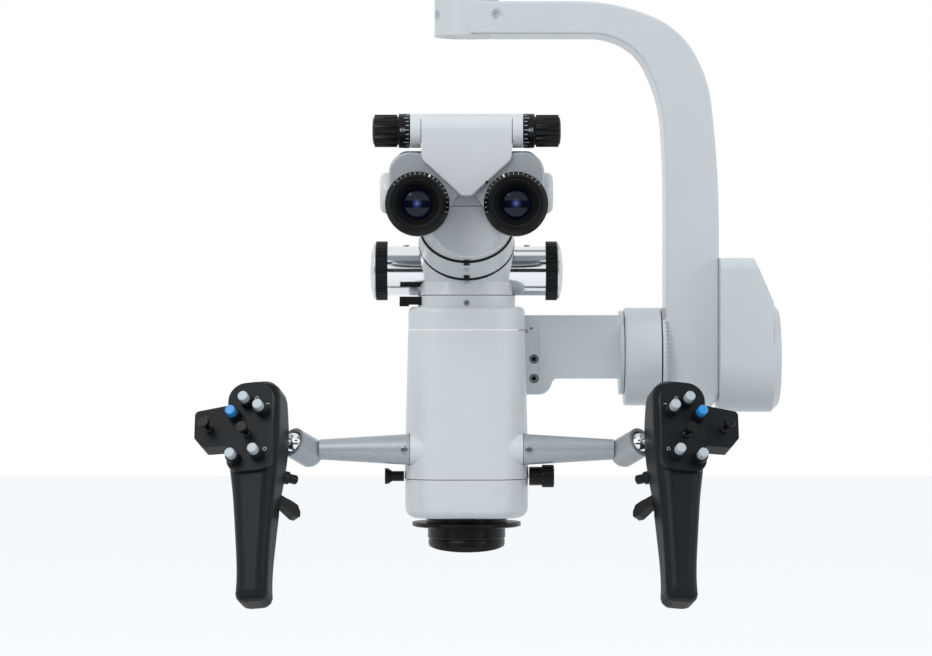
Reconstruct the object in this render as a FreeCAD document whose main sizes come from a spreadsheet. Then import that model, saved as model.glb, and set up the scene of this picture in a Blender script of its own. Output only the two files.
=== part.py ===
import FreeCAD, Part
import math
import os
import Sketcher
from FreeCAD import Placement, Rotation, Vector

# Surgical microscope on its suspension arm, with two control handles.
# Millimetres, +Z up, the eyepieces and the front face -Y, +X is the operator's right.
# The origin is on the spindle's axis, at the shoulder where the spindle leaves the hub.

os.makedirs("parts", exist_ok=True)
doc = FreeCAD.newDocument("surgical_microscope")
sheet = doc.addObject("Spreadsheet::Sheet", "sizes")

# Driving dimensions

sizes = {
    # suspension arm and spindle
    "spindle_radius": 12.5,
    "spindle_length": 40,
    "hub_radius": 22.5,
    "spindle_flange": 6,
    "retainer_radius": 16.5,
    "arm_top": -26.6,
    "arm_bottom": -49.6,
    "arm_depth": 45,
    "arm_drop_inner": 138.2,
    "arm_drop_outer": 175,
    "arm_end_below_axis": 38.5,
    "arm_edge_round": 2,
    "tilt_height": -273.4,
    "tilt_pin_radius": 12,
    "collar_radius": 34.2,
    "collar_inner_end": 109.8,
    "collar_gap": 1,
    "collar_chamfer": 1.2,
    "flange_gap": 0.5,
    "end_flange_radius": 29.3,
    "end_flange_width": 2.8,
    "cover_reach": 217.5,
    "cover_chamfer": 5,
    # bracket between the arm and the body
    "bracket_half_height": 22,
    "bracket_depth": 44,
    "bracket_rise": 6.9,
    "bracket_drop": 26.1,
    "bracket_recess": 0.5,
    # body
    "axis_depth": 35,
    "body_half_width": 42.4,
    "body_front": 45,
    "body_back": 48,
    "shoulder_height": -238.8,
    "upper_seam": -254.5,
    "lower_seam": -356,
    "base_height": 26.9,
    "lid_edge_round": 4,
    "neck_half_width": 33.4,
    "neck_seam": -231.3,
    "seam_gap": 0.5,
    # inclined coupling of the binocular tube
    "coupling_tilt": 50,
    "coupling_height": -195.6,
    "coupling_forward": 16.5,
    "coupling_radius": 32.5,
    "coupling_ring": 14.6,
    "coupling_gap": 1.4,
    # binocular tube
    "base_radius": 31,
    "base_thickness": 4,
    "hinge_height": -162,
    "hinge_depth": 73.5,
    "hinge_radius": 14,
    "hinge_pin_radius": 6,
    "hinge_half_length": 58.5,
    "barrel_edge_round": 4.5,
    "knuckle_half_width": 31.4,
    "plate_depth": 88,
    "plate_thickness": 4,
    "shield_depth": 108.6,
    "shield_thickness": 3.8,
    "shield_half_width": 30.2,
    "shield_edge_round": 1.2,
    "bar_height": -121.4,
    "bar_radius": 11.4,
    "bar_core_radius": 8,
    "bar_half_length": 37.6,
    "pupil_scale_width": 7.6,
    "pupil_grip_length": 17.6,
    "pupil_grip_radius": 10.6,
    "pupil_shaft_radius": 3,
    # distance between the pupils
    "pupil_distance": 65,
    "swing_half_distance": 37.8,
    "swing_height": -148.6,
    "swing_radius": 14.1,
    "prism_depth": 16,
    "prism_edge_round": 1.5,
    "eyepiece_height": -171.6,
    "eyepiece_tube_radius": 15,
    "eyepiece_end": 155,
    "eyepiece_radius": 21.2,
    "eye_lens_radius": 10,
    # magnification knobs
    "magnification_height": -214,
    "knob_tube_radius": 17.1,
    "knob_tube_end": 54.2,
    "knob_radius": 20.4,
    "knob_width": 8,
    "knob_end": 66.5,
    # objective
    "objective_radius": 26.7,
    "objective_drop": 20.5,
    "flange_radius": 37.4,
    "lens_radius": 22,
    # handle arms and handles
    "handle_arm_height": -336,
    "handle_arm_inset": 14,
    "handle_arm_radius": 10.4,
    "handle_arm_start": 38.6,
    "handle_arm_end_radius": 6.9,
    "arm_clearance": 0.4,
    "elbow_reach": 110,
    "elbow_radius": 10.2,
    "ball_radius": 7.6,
    "ball_neck_radius": 4,
    "handle_offset": 30,
    "handle_depth": 90,
    "handle_height": -326.8,
    "handle_yaw": 14,
    "handle_pitch": 25,
    "grip_width": 36,
    "grip_depth": 36,
    "panel_rise": 2.3,
    "panel_half_width": 15.5,
    "button_radius": 3.4,
    "button_travel": 1.5,
    "button_rise": 13,
    "collar_rise": 7.5,
    "plunger_radius": 4.4,
    "plunger_travel": 4,
    "trigger_width": 8,
    # running fits
    "running_gap": 0.05,
    "side_gap": 0.3,
}
for row, (alias, number) in enumerate(sizes.items(), start=1):
    sheet.set(f"A{row}", alias.replace("_", " "))
    sheet.set(f"B{row}", str(number))
    sheet.setAlias(f"B{row}", alias)
doc.recompute()


class Size:  # a length with the sheet formula that it comes from, so that features can be bound to it
    def __init__(self, number, formula=None):
        self.number = float(number)
        self.formula = formula or f"{number:.9g}"
        self.fixed = formula is None

    def join(self, other, sign, number):
        other = other if isinstance(other, Size) else Size(other)
        if self.fixed and other.fixed:
            return Size(number(self.number, other.number))
        return Size(number(self.number, other.number), f"({self.formula} {sign} {other.formula})")

    def __add__(self, other):
        return self.join(other, "+", lambda a, b: a + b)

    def __radd__(self, other):
        return Size(other) + self

    def __sub__(self, other):
        return self.join(other, "-", lambda a, b: a - b)

    def __rsub__(self, other):
        return Size(other) - self

    def __mul__(self, other):
        return self.join(other, "*", lambda a, b: a * b)

    def __rmul__(self, other):
        return Size(other) * self

    def __truediv__(self, other):
        return self.join(other, "/", lambda a, b: a / b)

    def __neg__(self):
        return Size(0) - self

    def __float__(self):
        return self.number


class Sheet:  # the sheet's cells by name
    def __getattr__(self, alias):
        return Size(sizes[alias], f"sizes.{alias}")


dim = Sheet()
bodyBottom = dim.lower_seam - dim.base_height
barDepth = dim.shield_depth + dim.shield_thickness - dim.bar_radius
handleArmDepth = dim.axis_depth + dim.body_front - dim.handle_arm_inset
nodes = []
sides = ((-1, "Left"), (1, "Right"))


def bind(item, path, value):
    if isinstance(value, Size) and not value.fixed:
        item.setExpression(path, value.formula)


def place(item, x=0, y=0, z=0, rotation=None):
    item.Placement = Placement(Vector(float(x), float(y), float(z)), rotation or Rotation())
    for letter, value in (("x", x), ("y", y), ("z", z)):
        bind(item, f"Placement.Base.{letter}", value)


def node(item, name):  # an object that becomes a piece of the product
    item.Label = name
    nodes.append(item)
    return item


# Sketches: an outline is a list of corners (u, v) or (u, v, radius of the rounding)

def newBody(name):
    return doc.addObject("PartDesign::Body", name)


def newSketch(body, name, role, offset=0):
    sketch = body.newObject("Sketcher::SketchObject", name)
    plane = [item for item in body.Origin.OriginFeatures if item.Role == role][0]
    sketch.AttachmentSupport = [(plane, "")]
    sketch.MapMode = "FlatFace"
    sketch.AttachmentOffset = Placement(Vector(0, 0, float(offset)), Rotation())
    bind(sketch, "AttachmentOffset.Base.z", offset)
    return sketch


def fixPoint(sketch, geometry, end, u, v):
    for kind, value in (("DistanceX", u), ("DistanceY", v)):
        index = sketch.addConstraint(Sketcher.Constraint(kind, -1, 1, geometry, end, float(value)))
        bind(sketch, f"Constraints[{index}]", value)


def drawOutline(sketch, corners):
    points = [Vector(float(corner[0]), float(corner[1]), 0) for corner in corners]
    starts, ends, arcs = [], [], []
    for index, corner in enumerate(corners):
        radius = float(corner[2]) if len(corner) > 2 else 0
        here = points[index]
        back = (points[index - 1] - here).normalize()
        ahead = (points[(index + 1) % len(points)] - here).normalize()
        if radius == 0:
            starts.append(here)
            ends.append(here)
            arcs.append(None)
            continue
        half = back.getAngle(ahead) / 2
        reach = radius / math.tan(half)
        centre = here + (back + ahead).normalize() * (radius / math.sin(half))
        first, last = here + back * reach, here + ahead * reach
        leftTurn = back.cross(ahead).z < 0
        starts.append(first)
        ends.append(last)
        arcs.append((centre, radius, leftTurn))
    lines = []
    for index in range(len(points)):
        after = (index + 1) % len(points)
        lines.append(sketch.addGeometry(Part.LineSegment(ends[index], starts[after]), False))
    for index, corner in enumerate(corners):
        before, line = lines[index - 1], lines[index]
        if arcs[index] is None:
            sketch.addConstraint(Sketcher.Constraint("Coincident", before, 2, line, 1))
            fixPoint(sketch, line, 1, corner[0], corner[1])
            continue
        centre, radius, leftTurn = arcs[index]
        first, last = (starts[index], ends[index]) if leftTurn else (ends[index], starts[index])
        angles = [math.atan2(p.y - centre.y, p.x - centre.x) for p in (first, last)]
        circle = Part.Circle(centre, Vector(0, 0, 1), radius)
        arc = sketch.addGeometry(Part.ArcOfCircle(circle, angles[0], angles[1]), False)
        tip = sketch.addGeometry(Part.Point(points[index]), True)
        arcStart, arcEnd = (1, 2) if leftTurn else (2, 1)
        sketch.addConstraint(Sketcher.Constraint("Tangent", before, 2, arc, arcStart))
        sketch.addConstraint(Sketcher.Constraint("Tangent", arc, arcEnd, line, 1))
        sketch.addConstraint(Sketcher.Constraint("PointOnObject", tip, 1, before))
        sketch.addConstraint(Sketcher.Constraint("PointOnObject", tip, 1, line))
        fixPoint(sketch, tip, 1, corner[0], corner[1])
        index = sketch.addConstraint(Sketcher.Constraint("Radius", arc, radius))
        bind(sketch, f"Constraints[{index}]", corner[2])


def drawCircle(sketch, u, v, radius):
    circle = Part.Circle(Vector(float(u), float(v), 0), Vector(0, 0, 1), float(radius))
    index = sketch.addGeometry(circle, False)
    fixPoint(sketch, index, 3, u, v)
    index = sketch.addConstraint(Sketcher.Constraint("Radius", index, float(radius)))
    bind(sketch, f"Constraints[{index}]", radius)


# Features

def pad(body, role, draw, start, length, name="Pad"):  # from start, along the plane's normal
    sketch = newSketch(body, name + "Sketch", role, start)
    draw(sketch)
    feature = body.newObject("PartDesign::Pad", name)
    feature.Profile = sketch
    feature.Length = float(length)
    bind(feature, "Length", length)
    return feature


def pocket(body, role, draw, start, length, name="Pocket"):  # from start, against the plane's normal
    sketch = newSketch(body, name + "Sketch", role, start)
    draw(sketch)
    feature = body.newObject("PartDesign::Pocket", name)
    feature.Profile = sketch
    feature.Length = float(length)
    bind(feature, "Length", length)
    return feature


def revolve(body, corners, kind="PartDesign::Revolution", name="Turned"):
    # corners are (radius, height) in the XZ plane, turned about the body's Z axis
    sketch = newSketch(body, name + "Sketch", "XZ_Plane")
    drawOutline(sketch, corners)
    feature = body.newObject(kind, name)
    feature.Profile = sketch
    axis = [item for item in body.Origin.OriginFeatures if item.Role == "Z_Axis"][0]
    feature.ReferenceAxis = (axis, [""])
    feature.Angle = 360
    return feature


def turned(name, corners):
    body = newBody(name)
    revolve(body, corners)
    return body


def outline(corners):
    return lambda sketch: drawOutline(sketch, corners)


def circles(*rings):
    def draw(sketch):
        for u, v, radius in rings:
            drawCircle(sketch, u, v, radius)
    return draw


def findEdges(feature, wanted):
    doc.recompute()
    return [f"Edge{i}" for i, edge in enumerate(feature.Shape.Edges, start=1) if wanted(edge)]


def dress(body, kind, feature, size, wanted):  # fillet or chamfer on the edges that a test picks
    names = findEdges(feature, wanted)
    dressed = body.newObject(f"PartDesign::{kind}", kind)
    dressed.Base = (feature, names)
    path = "Radius" if kind == "Fillet" else "Size"
    setattr(dressed, path, float(size))
    bind(dressed, path, size)
    return dressed


def group(name, items):  # like fasteners share one node
    compound = doc.addObject("Part::Compound", name)
    compound.Links = items
    return node(compound, name)


# Spindle and suspension arm

def makeSpindle():
    low = dim.arm_bottom + 3 - dim.side_gap
    corners = [(0, dim.spindle_length), (dim.spindle_radius - 1.5, dim.spindle_length),
               (dim.spindle_radius, dim.spindle_length - 1.5), (dim.spindle_radius, 0),
               (dim.hub_radius, 0), (dim.hub_radius, -dim.spindle_flange),
               (dim.spindle_radius, -dim.spindle_flange), (dim.spindle_radius, low), (0, low)]
    node(turned("Spindle", corners), "mounting_spindle")
    wide = dim.retainer_radius - dim.side_gap
    disc = turned("Retainer", [(0, dim.arm_bottom), (wide, dim.arm_bottom), (wide, low), (0, low)])
    node(disc, "spindle_retaining_disc")


def armOutline():
    outer, inner, top, low = dim.arm_drop_outer, dim.arm_drop_inner, dim.arm_top, dim.arm_bottom
    end = dim.tilt_height - dim.arm_end_below_axis
    return [(0, top), (outer - 72.6, top, 135), (outer - 26.3, top - 18.7, 60), (outer - 7, top - 55, 90),
            (outer, top - 121.3, 690), (outer, end, 16), (inner, end, 16), (inner, low - 90.8, 700),
            (inner - 3.2, low - 45, 99), (inner - 17.4, low - 13.1, 38), (inner - 38.5, low, 45), (0, low)]


def makeArm():
    body = newBody("Arm")
    bar = pad(body, "XZ_Plane", outline(armOutline()), -dim.arm_depth / 2, dim.arm_depth, "ArmBar")
    dress(body, "Fillet", bar, dim.arm_edge_round, lambda e: e.BoundBox.YLength < 0.01)
    pad(body, "XY_Plane", circles((0, 0, dim.hub_radius)), dim.arm_bottom,
        -dim.spindle_flange - dim.side_gap - dim.arm_bottom, "Hub")
    pad(body, "YZ_Plane", circles((0, dim.tilt_height, dim.collar_radius)),
        dim.collar_inner_end + 26, dim.arm_drop_inner - dim.collar_inner_end - 25, "TiltBoss")
    pocket(body, "XY_Plane", circles((0, 0, dim.spindle_radius + dim.running_gap)), 5,
           100, "SpindleBore")
    pocket(body, "XY_Plane", circles((0, 0, dim.retainer_radius)), dim.arm_bottom + 3, 5,
           "RetainerSeat")
    pocket(body, "YZ_Plane", circles((0, dim.tilt_height, dim.tilt_pin_radius + dim.running_gap)),
           dim.arm_drop_outer + 5, 80, "TiltBore")
    node(body, "pendulum_arm")


# Tilt joint, its cover and the bracket that carries the head

def makeTiltCollar():
    body = newBody("Collar")
    start = dim.collar_inner_end
    width = 26 - dim.collar_gap
    rim = pad(body, "YZ_Plane", circles((0, dim.tilt_height, dim.collar_radius)), start, width, "Rim")
    dress(body, "Chamfer", rim, dim.collar_chamfer, lambda e: e.BoundBox.XMax < start.number + 0.01)
    pocket(body, "YZ_Plane", circles((0, dim.tilt_height, dim.tilt_pin_radius + dim.running_gap)),
           start + width + 5, 50, "PinBore")
    node(body, "tilt_friction_collar")


def makeTiltShaft():
    body = newBody("TiltShaft")
    start = dim.collar_inner_end - dim.flange_gap
    pad(body, "YZ_Plane", circles((0, dim.tilt_height, dim.tilt_pin_radius)), start,
        dim.arm_drop_outer - start + 6, "Pin")
    pad(body, "YZ_Plane", circles((0, dim.tilt_height, dim.tilt_pin_radius + 6)),
        dim.arm_drop_outer + dim.side_gap, 6, "Nut")
    node(body, "tilt_shaft")


def makeArmCover():
    # a housing behind the arm's side: round below, sloped above, with a round end face on the tilt axis
    body = newBody("ArmCover")
    start = dim.arm_drop_outer
    wide = dim.collar_radius + 4.4
    top = dim.tilt_height + 68.4
    low = dim.tilt_height - wide
    section = [(-wide, top, 8), (wide, top, 8), (wide, low, wide - 0.2), (-wide, low, wide - 0.2)]
    pad(body, "YZ_Plane", outline(section), start, 36.5, "Housing")
    slope = [(start + 21, top + 5), (start + 36.5, top - 30.6), (start + 50, top - 30.6), (start + 50, top + 5)]
    pocket(body, "XZ_Plane", outline(slope), wide + 1, wide * 2 + 2, "Slope")
    face = pad(body, "YZ_Plane", circles((0, dim.tilt_height, wide)), start + 30,
               dim.cover_reach - start - 30, "EndFace")
    dress(body, "Chamfer", face, dim.cover_chamfer, lambda e: e.BoundBox.XMin > dim.cover_reach.number - 0.01)
    pocket(body, "YZ_Plane", circles((0, dim.tilt_height, dim.tilt_pin_radius + 7)), start + 7, 12, "NutRoom")
    node(body, "arm_end_cover")


def makeBracket():
    body = newBody("Bracket")
    middle = dim.tilt_height + dim.bracket_rise
    high = middle + dim.bracket_half_height
    low = middle - dim.bracket_half_height
    left = dim.body_half_width - 6
    drop = dim.tilt_height - dim.bracket_drop
    end = dim.collar_inner_end - dim.flange_gap - 0.5
    profile = [(left, high), (end, high), (end, low),
               (left + 22.5, low, 4), (left + 22.5, drop, 9), (left, drop)]
    pad(body, "XZ_Plane", outline(profile), -dim.bracket_depth / 2, dim.bracket_depth, "Beam")
    end = dim.collar_inner_end - dim.flange_gap
    pad(body, "YZ_Plane", circles((0, dim.tilt_height + 2.7, dim.end_flange_radius)),
        end - dim.end_flange_width, dim.end_flange_width, "EndFlange")
    recess = [(left, high - 5.3), (left + 14, high - 5.3, 3), (left + 14, low - 3, 3), (left, low - 3)]
    pocket(body, "XZ_Plane", outline(recess), dim.bracket_depth / 2, dim.bracket_recess, "Recess")
    bracketHoles(body)
    node(body, "carrier_bracket")


def bracketHoles(body):
    face = dim.bracket_depth / 2
    left = dim.body_half_width + 4.3
    for number, height in enumerate((-1.5, -15)):
        pocket(body, "XZ_Plane", circles((left, dim.tilt_height + height, 3.2)), face, 4,
               f"ScrewSeat{number}")


def makeBracketScrews():
    screws = []
    for number, height in enumerate((-1.5, -15)):
        body = newBody(f"BracketScrew{number}")
        corners = [(0, 0.4), (1.6, 0.4), (1.6, 2.6), (2.6, 2.6), (2.95, 2.2), (2.95, 0), (0, 0)]
        revolve(body, corners)
        place(body, dim.body_half_width + 4.3, -dim.bracket_depth / 2 + 4, dim.tilt_height + height,
              Rotation(Vector(1, 0, 0), 90))
        screws.append(body)
    group("bracket_screws", screws)


# Optical body

def makeLoft(body, sections, name):
    # each section is (height, corners)
    sketches = []
    for number, (height, corners) in enumerate(sections):
        sketch = newSketch(body, f"{name}Section{number}", "XY_Plane", height)
        drawOutline(sketch, corners)
        sketches.append(sketch)
    loft = body.newObject("PartDesign::AdditiveLoft", name)
    loft.Profile = sketches[0]
    loft.Sections = sketches[1:]
    loft.Ruled = True
    return loft


def bodySection(half, inset=0):
    front, back = dim.body_front - inset, dim.body_back - inset
    return [(-half, -dim.axis_depth - front, 26), (half, -dim.axis_depth - front, 26),
            (half, -dim.axis_depth + back, 16), (-half, -dim.axis_depth + back, 16)]


def cutBracketSeat(body, low, high):  # flat seat in the body's side that the bracket is bolted to
    left = dim.body_half_width - 6
    seat = [(left, low), (left, high), (left + 20, high), (left + 20, low)]
    pocket(body, "XZ_Plane", outline(seat), dim.bracket_depth / 2, dim.bracket_depth, "BracketSeat")


def makeShoulder():
    # the cover above the upper seam, and the neck block that stands on it
    body = newBody("Shoulder")
    lid = pad(body, "XY_Plane", outline(bodySection(dim.body_half_width - 2.6, 0.5)), dim.upper_seam,
              dim.shoulder_height - dim.upper_seam, "Lid")
    dress(body, "Fillet", lid, dim.lid_edge_round, lambda e: e.BoundBox.ZMin > dim.shoulder_height.number - 0.01)
    half = dim.neck_half_width
    neck = [(-half, -dim.axis_depth - 36, 24), (half, -dim.axis_depth - 36, 24),
            (half, -dim.axis_depth + 38, 14), (-half, -dim.axis_depth + 38, 14)]
    pad(body, "XY_Plane", outline(neck), dim.shoulder_height - 1,
        dim.neck_seam - dim.shoulder_height + 1, "Neck")
    cutBracketSeat(body, dim.upper_seam - 1, dim.tilt_height + dim.bracket_rise + dim.bracket_half_height)
    high = dim.neck_seam
    slot = [(-half - 1, high - 6.5), (-half - 1, high + 1), (-half + 12, high + 1), (-half + 12, high - 6.5)]
    pocket(body, "XZ_Plane", outline(slot), dim.axis_depth + 23 + dim.side_gap, 9 + 2 * dim.side_gap,
           "FilterSlot")
    node(body, "shoulder_cover")


def makeBody():
    body = newBody("BodyShell")
    half = dim.body_half_width
    makeLoft(body, [(dim.lower_seam, bodySection(half)), (dim.upper_seam - dim.seam_gap,
             bodySection(half - 2.4))], "Shell")
    cutBracketSeat(body, dim.tilt_height - dim.bracket_drop, dim.upper_seam + 1)
    axis = (-handleArmDepth, dim.handle_arm_height)
    end = dim.handle_arm_start - dim.side_gap
    for side, name in sides:  # a round boss at each front corner, and room for the arm that turns on it
        pad(body, "YZ_Plane", circles((*axis, dim.handle_arm_radius + 0.4)), 15 if side > 0 else -end,
            end - 15, f"Boss{name}")
        pocket(body, "YZ_Plane", circles((*axis, dim.handle_arm_radius + dim.arm_clearance)),
               end + 20 if side > 0 else -end, 20, f"ArmRoom{name}")
    node(body, "body_shell")


def makeBase():
    body = newBody("BaseShell")
    half = dim.body_half_width
    shell = pad(body, "XY_Plane", outline(bodySection(half - 0.5)), bodyBottom,
                dim.lower_seam - dim.seam_gap - bodyBottom, "Skirt")
    dress(body, "Fillet", shell, 7,
          lambda e: e.BoundBox.ZMax < bodyBottom.number + 0.01)
    node(body, "base_shell")


# Inclined coupling: pieces turned about an axis that leans towards the operator

def placeOnCoupling(body):
    place(body, 0, -(dim.axis_depth + dim.coupling_forward), dim.coupling_height,
          Rotation(Vector(1, 0, 0), sizes["coupling_tilt"]))


def makeNeck():
    # from the rounded plan of the neck to the round inclined coupling face
    body = newBody("Neck")
    half = dim.neck_half_width - 1.7
    back = 38 - dim.axis_depth
    front = -dim.axis_depth - 36
    low = dim.neck_seam + dim.seam_gap
    sections = []
    for number, (rise, inset) in enumerate(((0, 0), (9, 2.2))):
        sketch = newSketch(body, f"NeckPlan{number}", "XY_Plane", low + rise)
        drawOutline(sketch, [(inset - half, front + inset, 24), (half - inset, front + inset, 24),
                             (half - inset, back - inset, 24), (inset - half, back - inset, 24)])
        sections.append(sketch)
    face = newSketch(body, "CouplingFace", "XY_Plane")
    centre = Vector(0, -sizes["axis_depth"] - sizes["coupling_forward"], sizes["coupling_height"])
    face.AttachmentOffset = Placement(centre, Rotation(Vector(1, 0, 0), sizes["coupling_tilt"]))
    bind(face, "AttachmentOffset.Base.y", -dim.axis_depth - dim.coupling_forward)
    bind(face, "AttachmentOffset.Base.z", dim.coupling_height)
    wide = dim.coupling_radius
    drawOutline(face, [(-wide, -wide, wide - 0.4), (wide, -wide, wide - 0.4),
                       (wide, wide, wide - 0.4), (-wide, wide, wide - 0.4)])
    sections.append(face)
    for number in (0, 1):
        loft = body.newObject("PartDesign::AdditiveLoft", f"NeckLoft{number}")
        loft.Profile = sections[number]
        loft.Sections = [sections[number + 1]]
        loft.Ruled = True
    node(cutNeckForTubes(body), "neck_housing")


def makeCouplingRing():
    # the ring sits on the neck with a dark gap at each face; a spigot below centres it
    low = dim.coupling_gap
    high = low + dim.coupling_ring
    wide = dim.coupling_radius
    inner = wide - 9
    corners = [(inner, 0.3), (wide - 4, 0.3), (wide - 4, low), (wide, low), (wide - 0.8, high),
               (wide - 4, high), (wide - 4, high + dim.coupling_gap), (inner, high + dim.coupling_gap)]
    body = turned("CouplingRing", corners)
    placeOnCoupling(body)
    node(body, "coupling_ring")


def makeBinocularBase():
    # a bevelled disc on the ring, with the knuckle of the tilting hinge on it
    body = newBody("BinocularBase")
    low = dim.coupling_ring + 2 * dim.coupling_gap + dim.side_gap
    wide = dim.base_radius
    revolve(body, [(0, low), (wide, low), (wide, low + 2.5), (wide - 1, low + dim.base_thickness),
                   (0, low + dim.base_thickness)])
    placeOnCoupling(body)
    knuckle = newBody("Knuckle")
    half = dim.knuckle_half_width
    pad(knuckle, "YZ_Plane", circles((-dim.hinge_depth, dim.hinge_height, dim.hinge_radius)), -half,
        half * 2, "Barrel")
    whole = doc.addObject("Part::MultiFuse", "BaseWithKnuckle")
    whole.Shapes = [body, knuckle, makeFrontBlock(low)]
    bore = doc.addObject("Part::Cylinder", "HingeBore")
    bind(bore, "Radius", dim.hinge_pin_radius + dim.running_gap)
    bore.Height = 200
    place(bore, -100, -dim.hinge_depth, dim.hinge_height, Rotation(Vector(0, 1, 0), 90))
    cut = doc.addObject("Part::Cut", "BinocularBaseBored")
    cut.Base = whole
    cut.Tool = bore
    node(cut, "binocular_base")


def makeFrontBlock(low):
    # the disc carries on as a round block, cut flat in front, up to the hinge and under the plate
    block = doc.addObject("Part::Cylinder", "RoundBlock")
    bind(block, "Radius", dim.base_radius - 0.8)
    block.Height = 50
    lean = sizes["coupling_tilt"]
    rise = Rotation(Vector(1, 0, 0), lean).multVec(Vector(0, 0, low.number))
    place(block, 0, -(dim.axis_depth + dim.coupling_forward) + rise.y, dim.coupling_height + rise.z,
          Rotation(Vector(1, 0, 0), lean))
    room = newBody("BlockRoom")
    front, behind, base = -dim.plate_depth - 0.6, -dim.plate_depth + 0.7, dim.coupling_height - 50
    under = dim.hinge_height - 9.8
    side = [(front, base), (front, under), (behind, under), (behind, dim.hinge_height),
            (-dim.hinge_depth + 10, dim.hinge_height), (-dim.hinge_depth + 10, base)]
    pad(room, "YZ_Plane", outline(side), -50, 100, "Room")
    common = doc.addObject("Part::MultiCommon", "FrontBlock")
    common.Shapes = [block, room]
    return common


def makeHingePin():
    body = newBody("HingePin")
    half = dim.hinge_half_length - 3
    pad(body, "YZ_Plane", circles((-dim.hinge_depth, dim.hinge_height, dim.hinge_pin_radius)), -half,
        half * 2, "Pin")
    node(body, "binocular_hinge_pin")


def makeBinocularHousing():
    # two hinge barrels, the plate that carries the swinging prism housings, and the top bar
    body = newBody("BinocularHousing")
    half = dim.knuckle_half_width
    depth, height = -dim.hinge_depth, dim.hinge_height
    plate = dim.plate_depth
    wide = dim.swing_half_distance + 10
    top = dim.bar_height
    neck = dim.bar_half_length - 8
    under = top - dim.bar_radius - 1.6
    panel = [(-wide, height - 9, 9), (wide, height - 9, 9), (wide, under, 8), (neck, under), (neck, top),
             (-neck, top), (-neck, under), (-wide, under, 8)]
    pad(body, "XZ_Plane", outline(panel), plate, dim.plate_thickness, "Plate")
    for side, name in sides:
        start = half + dim.side_gap if side > 0 else -dim.hinge_half_length
        barrel = pad(body, "YZ_Plane", circles((depth, height, dim.hinge_radius)), start,
                     dim.hinge_half_length - half - dim.side_gap, f"Barrel{name}")
        end = dim.hinge_half_length * side
        dress(body, "Fillet", barrel, dim.barrel_edge_round, lambda e: abs(e.BoundBox.XMax - end.number) < 0.01)
        low = height - dim.hinge_radius + 6
        web = [(depth, low), (depth, height + dim.hinge_radius), (-plate - 1, height + dim.hinge_radius),
               (-plate - 1, low)]
        webEnd = dim.swing_half_distance + 9
        webStart = start if side > 0 else -webEnd
        pad(body, "YZ_Plane", outline(web), webStart, webEnd - half - dim.side_gap, f"Web{name}")
    pocket(body, "YZ_Plane", circles((depth, height, dim.hinge_pin_radius + dim.running_gap)),
           dim.hinge_half_length - 2.5, dim.hinge_half_length * 2 - 5, "PinBore")
    bridge = [(-barDepth, top + 5), (-plate + 3, top + 5, 4), (-plate + 3, under), (-plate - 1, under),
              (-plate - 1, top - 7), (-barDepth, top - 7)]
    pad(body, "YZ_Plane", outline(bridge), -neck, neck * 2, "Bridge")
    pad(body, "YZ_Plane", circles((-barDepth, top, dim.bar_core_radius)), -dim.bar_half_length,
        dim.bar_half_length * 2, "BarCore")
    shield = dim.shield_half_width + dim.seam_gap
    for side, name in sides:
        start = shield if side > 0 else -dim.bar_half_length
        pad(body, "YZ_Plane", circles((-barDepth, top, dim.bar_radius)), start,
            dim.bar_half_length - shield, f"BarEnd{name}")
    pocket(body, "YZ_Plane", circles((-barDepth, top, dim.pupil_shaft_radius + dim.running_gap)),
           dim.bar_half_length + 5, dim.bar_half_length * 2 + 10, "ShaftBore")
    node(body, "binocular_housing")


def makeShield():
    # front cover: it wraps the bar above and runs down to a rounded point between the eyepieces
    body = newBody("Shield")
    wide = dim.shield_half_width
    top = dim.bar_height
    tip = top - 44
    face = [(-wide, top), (wide, top), (wide, top - 19.5, 8), (3.5, tip, 4), (-3.5, tip, 4),
            (-wide, top - 19.5, 8)]
    plate = pad(body, "XZ_Plane", outline(face), dim.shield_depth, dim.shield_thickness, "Face")
    front = -dim.shield_depth - dim.shield_thickness
    dress(body, "Fillet", plate, dim.shield_edge_round,
          lambda e: e.BoundBox.YMax < front.number + 0.01 and e.BoundBox.ZMax < top.number - 0.01)
    pad(body, "YZ_Plane", circles((-barDepth, top, dim.bar_radius)), -wide, wide * 2, "Wrap")
    core = dim.bar_core_radius + dim.running_gap
    pocket(body, "YZ_Plane", circles((-barDepth, top, core)), wide + 1, wide * 2 + 2, "CoreBore")
    behind = -barDepth
    back = [(behind, top - 20), (behind, top + 5.4), (behind + 20, top + 5.4), (behind + 20, top - 20)]
    pocket(body, "YZ_Plane", outline(back), wide + 1, wide * 2 + 2, "OpenBack")
    node(body, "front_shield")


def makePupilKnobs():
    # both fluted knobs sit on one shaft through the bar, each with its scale ring
    body = newBody("PupilKnobs")
    depth, height = -barDepth, dim.bar_height
    start = dim.bar_half_length + dim.side_gap
    reach = start + dim.pupil_scale_width + dim.pupil_grip_length
    pad(body, "YZ_Plane", circles((depth, height, dim.pupil_shaft_radius)), -reach + 2, reach * 2 - 4, "Shaft")
    for side, name in sides:
        ringStart = start if side > 0 else -start - dim.pupil_scale_width
        pad(body, "YZ_Plane", circles((depth, height, dim.bar_radius + 0.1)), ringStart,
            dim.pupil_scale_width, f"Scale{name}")
        gripStart = start + dim.pupil_scale_width if side > 0 else -reach
        pad(body, "YZ_Plane", circles((depth, height, dim.pupil_grip_radius)), gripStart,
            dim.pupil_grip_length, f"Grip{name}")
    node(body, "pupil_distance_knobs")


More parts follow.
